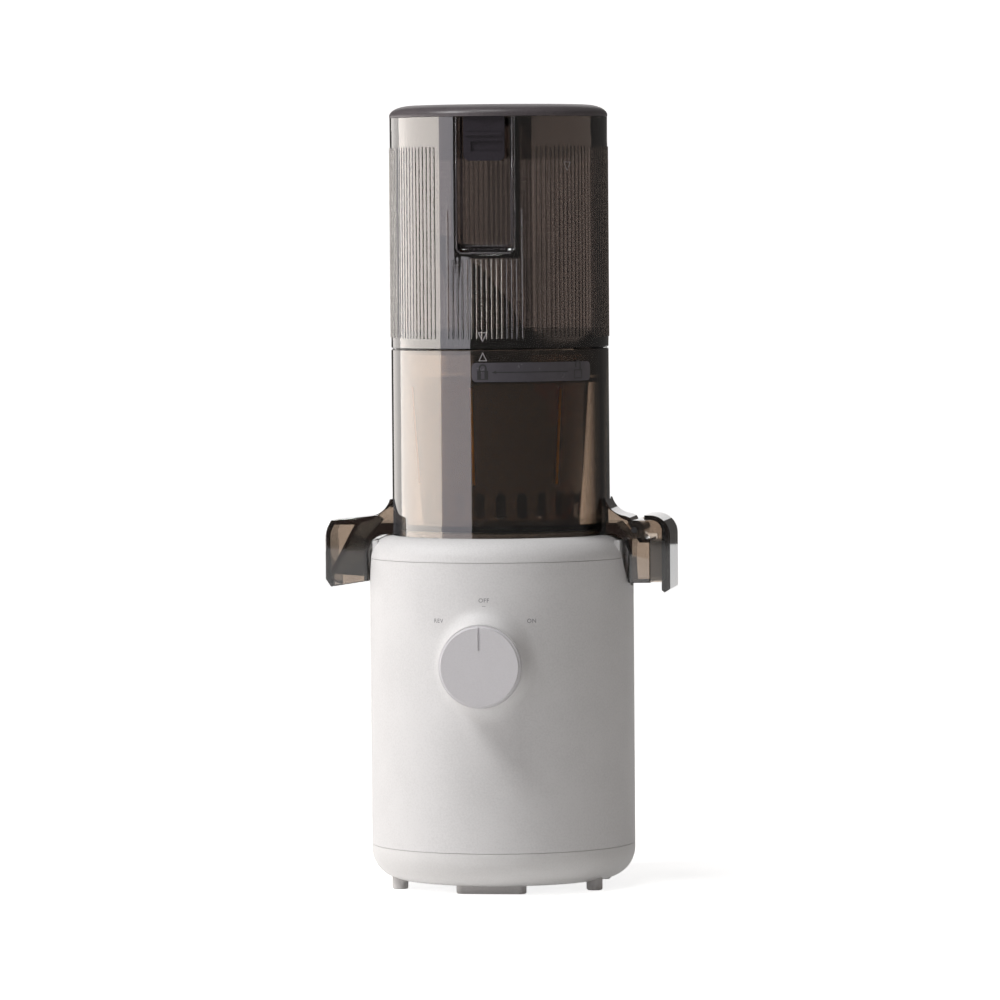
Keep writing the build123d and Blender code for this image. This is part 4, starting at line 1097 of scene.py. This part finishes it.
@dataclass
class Hopper:
    """Ribbed clear hopper with its seal and hinge pin."""

    frame: dict
    axis: Vector
    wall_radius: float = 54.5 * MM
    rib_centre: float = 54.15 * MM
    rib_radius: float = 0.65 * MM
    pitch: float = 2.62
    foot: float = 274.5 * MM
    film: float = 0.08 * MM
    mark_height: float = 275.4 * MM
    mark_half: float = 2.1 * MM
    recess_half: float = 13.9 * MM
    recess_foot: float = 316.6 * MM
    recess_top: float = 383.5 * MM
    recess_bend: float = 3.0 * MM
    inner_half: float = 12.3 * MM
    inner_foot: float = 320.0 * MM
    inner_radius: float = 47.0 * MM
    lip_radius: float = 0.45 * MM
    side_mark_turn: float = -46.0
    side_mark_height: float = 359.0 * MM
    side_mark_line: float = 0.3 * MM
    below_recess: RibRow = RibRow(14, -17.03, 313.5 * MM)
    beside_recess: tuple[RibRow, RibRow] = (RibRow(1, -20.0, 338.0 * MM), RibRow(1, 20.0, 338.0 * MM))
    all_round: RibRow = RibRow(117, 28.0, 369.0 * MM)

    def add_row(self, piece: bpy.types.Object, tree: Tree, row: RibRow) -> None:
        """Weld one row of ribs to the hopper with a modifier.

        Args:
            piece: the hopper's new object.
            tree: the rib tree.
            row: the row.
        """
        modifier = piece.modifiers.new("ribs", "NODES")
        modifier.node_group = tree
        wanted = {"Ribs": row.count, "First Angle": math.radians(row.first),
                  "Pitch": math.radians(self.pitch), "Wall Radius": self.rib_centre,
                  "Rib Radius": self.rib_radius, "Foot": self.foot, "Top": row.top,
                  "Axis Y": self.axis.y, "Finish": material(Finish.SMOKE)}
        for item in tree.interface.items_tree:
            if item.in_out == "INPUT" and item.name in wanted:
                modifier[item.identifier] = wanted[item.name]

    def add_ribs(self) -> None:
        """Stand the ribbed hopper in place of the plain one."""
        draft = stand("hopper_draft", merged_copy(self.frame, "hopper"))
        tree = RibTree().build()
        for row in (self.below_recess, *self.beside_recess, self.all_round):
            self.add_row(draft, tree, row)
        mesh = bake(draft)
        piece = settle("ribbed_hopper", mesh, "hopper_set")
        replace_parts(piece, "hopper")
        LOG.info("ribbed hopper: %d faces", len(mesh.polygons))

    def add_marks(self) -> None:
        """Engrave the alignment marks."""
        sheet = MarkSheet(self.axis, self.wall_radius + self.film)
        half = self.mark_half
        down = [(-half, half), (half, half), (0, -half)]
        sheet.at(Bowl.lock_turn, self.mark_height).stroke(down, Bowl.mark_line, closed=True)
        for turn in (self.side_mark_turn, -self.side_mark_turn):
            sheet.at(turn, self.side_mark_height).stroke(down, self.side_mark_line, closed=True)
        sheet.finish("hopper_marks", Finish.PALE_INK, "hopper_set", "smoky_clear")

    def recess_path(self, half: float, foot: float, radius: float) -> list[Vector]:
        """Return a U round the finger recess, wrapped on a round wall.

        Args:
            half: half of the U's width.
            foot: the height of its foot.
            radius: the wall's radius.

        Returns:
            The path from the upper left round to the upper right.
        """
        bend = self.recess_bend
        left = [(-half, self.recess_top), *arc((bend - half, foot + bend), bend, 180, 270)]
        outline = left + [(-x, z) for x, z in reversed(left)]
        return [self.axis + Vector((x, -math.sqrt(radius**2 - x**2), z)) for x, z in outline]

    def add_recess_lips(self) -> None:
        """Round the recess's mouth and the foot inside it with glassy beads."""
        build = bmesh.new()
        sweep(build, self.recess_path(self.recess_half, self.recess_foot, self.wall_radius), self.lip_radius)
        sweep(build, self.recess_path(self.inner_half, self.inner_foot, self.inner_radius), self.lip_radius)
        settle("recess_lips", to_mesh(build, Finish.LIP), "hopper_set")

    def build(self) -> None:
        """Rib the hopper, dress the rest and add its marks."""
        dress(self.frame, {
            Finish.DARK_RUBBER: "hopper_seal",
            Finish.STEEL: "lid_pin",
        })
        self.add_ribs()
        self.add_recess_lips()
        self.add_marks()


@dataclass
class Lid:
    """Charcoal lid with its clear skirt and, below the lid's foot, the finger tab."""

    frame: dict
    foot: float = 384 * MM

    def add_tabbed_lid(self) -> None:
        """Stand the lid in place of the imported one, its finger tab darker and glossier."""
        mesh = merged_copy(self.frame, "lid")
        mesh.materials.append(material(Finish.CHARCOAL))
        mesh.materials.append(material(Finish.DARK_TAB))
        for polygon in mesh.polygons:
            polygon.material_index = int(polygon.center.z < self.foot)
        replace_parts(settle("tabbed_lid", mesh, "lid_set"), "lid")

    def build(self) -> None:
        """Dress the lid, its tab and its clear skirt."""
        self.add_tabbed_lid()
        dress(self.frame, {Finish.SKIRT: "lid_skirt"})


# --- studio


@dataclass(frozen=True)
class SoftBox:
    """One soft lamp: where it hangs from the machine and how strong it is.

    The turn is measured from the camera towards the left, in degrees.
    """

    name: str
    turn: float
    away: float
    height: float
    size: tuple[float, float]
    power: float
    colour: Colour = (1, 1, 1)


@dataclass
class Studio:
    """Pale floor and backdrop, soft lights and the camera."""

    axis: Vector
    azimuth: float = 7.8
    distance: float = 3.25
    eye_height: float = 0.334
    picture_width: float = 0.5
    aim_height: float = 0.1928
    aim_left: float = 0.6 * MM
    roll: float = 0.45
    sensor: float = 36.0
    paper: Colour = linear("f2f1f0")
    paper_glow: float = 0.8
    floor_radius: float = 3.4
    floor_sides: int = 96
    paper_lift: float = 0.0005
    sweep_half: float = 0.64
    sweep_start: float = 2.2
    sweep_radius: float = 1.0
    sweep_top: float = 5.0
    sweep_steps: int = 24
    room: Colour = linear("efe9e5")
    room_level: float = 0.12
    lamp_aim: float = 0.2
    lamps: tuple[SoftBox, ...] = (
        SoftBox("side_strip", 97.5, 2.2, 0.24, (2.8, 0.40), 18, linear("fff8f2")),
        SoftBox("front_strip", 48, 2.2, 0.24, (1.35, 0.40), 3.3, linear("faf7ff")),
        SoftBox("back_strip", 142, 2.2, 0.24, (1.0, 0.40), 2.5, linear("fffaf6")),
        SoftBox("right_glow", -74, 2.2, 0.33, (3.6, 0.2), 0.9, linear("ffe4d4")),
        SoftBox("top", 20, 0.7, 2.4, (0.5, 0.5), 10),
        SoftBox("key", 62, 1.4, 1.8, (0.5, 0.5), 25),
    )

    def heading(self, turn: float) -> Vector:
        """Return the level direction that lies a turn left of the camera."""
        angle = math.radians(self.azimuth - turn)
        return Vector((math.sin(angle), -math.cos(angle), 0))

    def add_paper(self) -> None:
        """Lay a wide floor and stand a narrow sweep of the same paper behind the machine."""
        profile = [(self.sweep_start, self.paper_lift)]
        for step in range(1, self.sweep_steps + 1):
            angle = math.pi / 2 * step / self.sweep_steps
            across = self.sweep_start + self.sweep_radius * math.sin(angle)
            profile.append((across, self.paper_lift + self.sweep_radius * (1 - math.cos(angle))))
        profile.append((self.sweep_start + self.sweep_radius, self.sweep_top))
        build = bmesh.new()
        sides = (-self.sweep_half, self.sweep_half)
        rows = [[build.verts.new((x, y, z)) for x in sides] for y, z in profile]
        for low, high in zip(rows, rows[1:]):
            build.faces.new((low[0], low[1], high[1], high[0])).smooth = True
        facing = Matrix.Rotation(math.radians(self.azimuth), 3, "Z")
        bmesh.ops.rotate(build, verts=build.verts, cent=(0, 0, 0), matrix=facing)
        bmesh.ops.create_circle(build, cap_ends=True, radius=self.floor_radius, segments=self.floor_sides)
        mesh = bpy.data.meshes.new("floor")
        build.to_mesh(mesh)
        build.free()
        mesh.materials.append(self.make_paper())
        floor = stand("floor", mesh)

    def make_paper(self) -> Material:
        """Make the pale paper, white to the camera and to what mirrors or lets it through.

        Returns:
            The paper's material.
        """
        bench = NodeBench("floor_paper")
        bench.set(Base_Color=(*self.paper, 1), Roughness=0.9)
        path = bench.add("ShaderNodeLightPath").outputs
        seen = path["Is Camera Ray"]
        for kind in ("Is Glossy Ray", "Is Transmission Ray"):
            seen = work_out(bench.tree, "MAXIMUM", seen, path[kind])
        level = work_out(bench.tree, "MULTIPLY", seen, self.paper_glow)
        glow = bench.add("ShaderNodeEmission", Strength=level).outputs["Emission"]
        both = bench.add("ShaderNodeAddShader")
        for target, shader in zip(both.inputs, (bench.shader.outputs["BSDF"], glow)):
            feed(bench.tree, target, shader)
        feed(bench.tree, bench.output.inputs["Surface"], both.outputs["Shader"])
        return bench.material

    def add_lamp(self, box: SoftBox) -> None:
        """Hang one soft box that faces the machine.

        Args:
            box: the soft box.
        """
        lamp = bpy.data.lights.new(box.name, "AREA")
        lamp.shape = "RECTANGLE"
        lamp.size, lamp.size_y = box.size
        lamp.energy = box.power
        lamp.color = box.colour
        holder = stand(box.name, lamp)
        holder.location = self.axis + self.heading(box.turn) * box.away + Vector((0, 0, box.height))
        aim = self.axis + Vector((0, 0, self.lamp_aim)) - holder.location
        holder.rotation_euler = aim.to_track_quat("-Z", "Y").to_euler()

    def add_room(self) -> None:
        """Fill the room with even pale light."""
        world = bpy.data.worlds.new("room")
        world.use_nodes = True
        back = world.node_tree.nodes["Background"]
        back.inputs["Color"].default_value = (*self.room, 1)
        back.inputs["Strength"].default_value = self.room_level
        bpy.context.scene.world = world

    def add_camera(self) -> None:
        """Set the camera at eye level in front, a little towards the juice spout."""
        camera = bpy.data.cameras.new("camera")
        camera.sensor_width = self.sensor
        camera.lens = self.sensor * self.distance / self.picture_width
        holder = stand("camera", camera)
        ahead = self.heading(0)
        holder.location = self.axis + ahead * self.distance + Vector((0, 0, self.eye_height))
        left = Vector((ahead.y, -ahead.x, 0))
        aim = self.axis + Vector((0, 0, self.aim_height)) + left * self.aim_left - holder.location
        turn = aim.to_track_quat("-Z", "Y")
        roll = Quaternion(turn @ Vector((0, 0, 1)), math.radians(-self.roll))
        holder.rotation_mode = "QUATERNION"
        holder.rotation_quaternion = roll @ turn
        bpy.context.scene.camera = holder

    def build(self) -> None:
        """Make the whole studio."""
        self.add_paper()
        self.add_room()
        for box in self.lamps:
            self.add_lamp(box)
        self.add_camera()
        bpy.context.scene.view_settings.view_transform = "Standard"
        LOG.info("studio ready")


def machine_axis() -> Vector:
    """Return the foot of the machine's upright axis, taken from the strainer."""
    low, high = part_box("strainer")
    return Vector(((low[0] + high[0]) / 2, (low[1] + high[1]) / 2, 0))


def main() -> None:
    """Build the looks of the machine."""
    logging.basicConfig(level=logging.INFO, format="%(message)s")
    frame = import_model()
    axis = machine_axis()
    Studio(axis).build()
    BaseHousing(frame, axis).build()
    DriveTrain(frame).build()
    Bowl(frame, axis).build()
    Press(frame, axis).build()
    Hopper(frame, axis).build()
    Lid(frame).build()


if __name__ == "__main__":
    main()
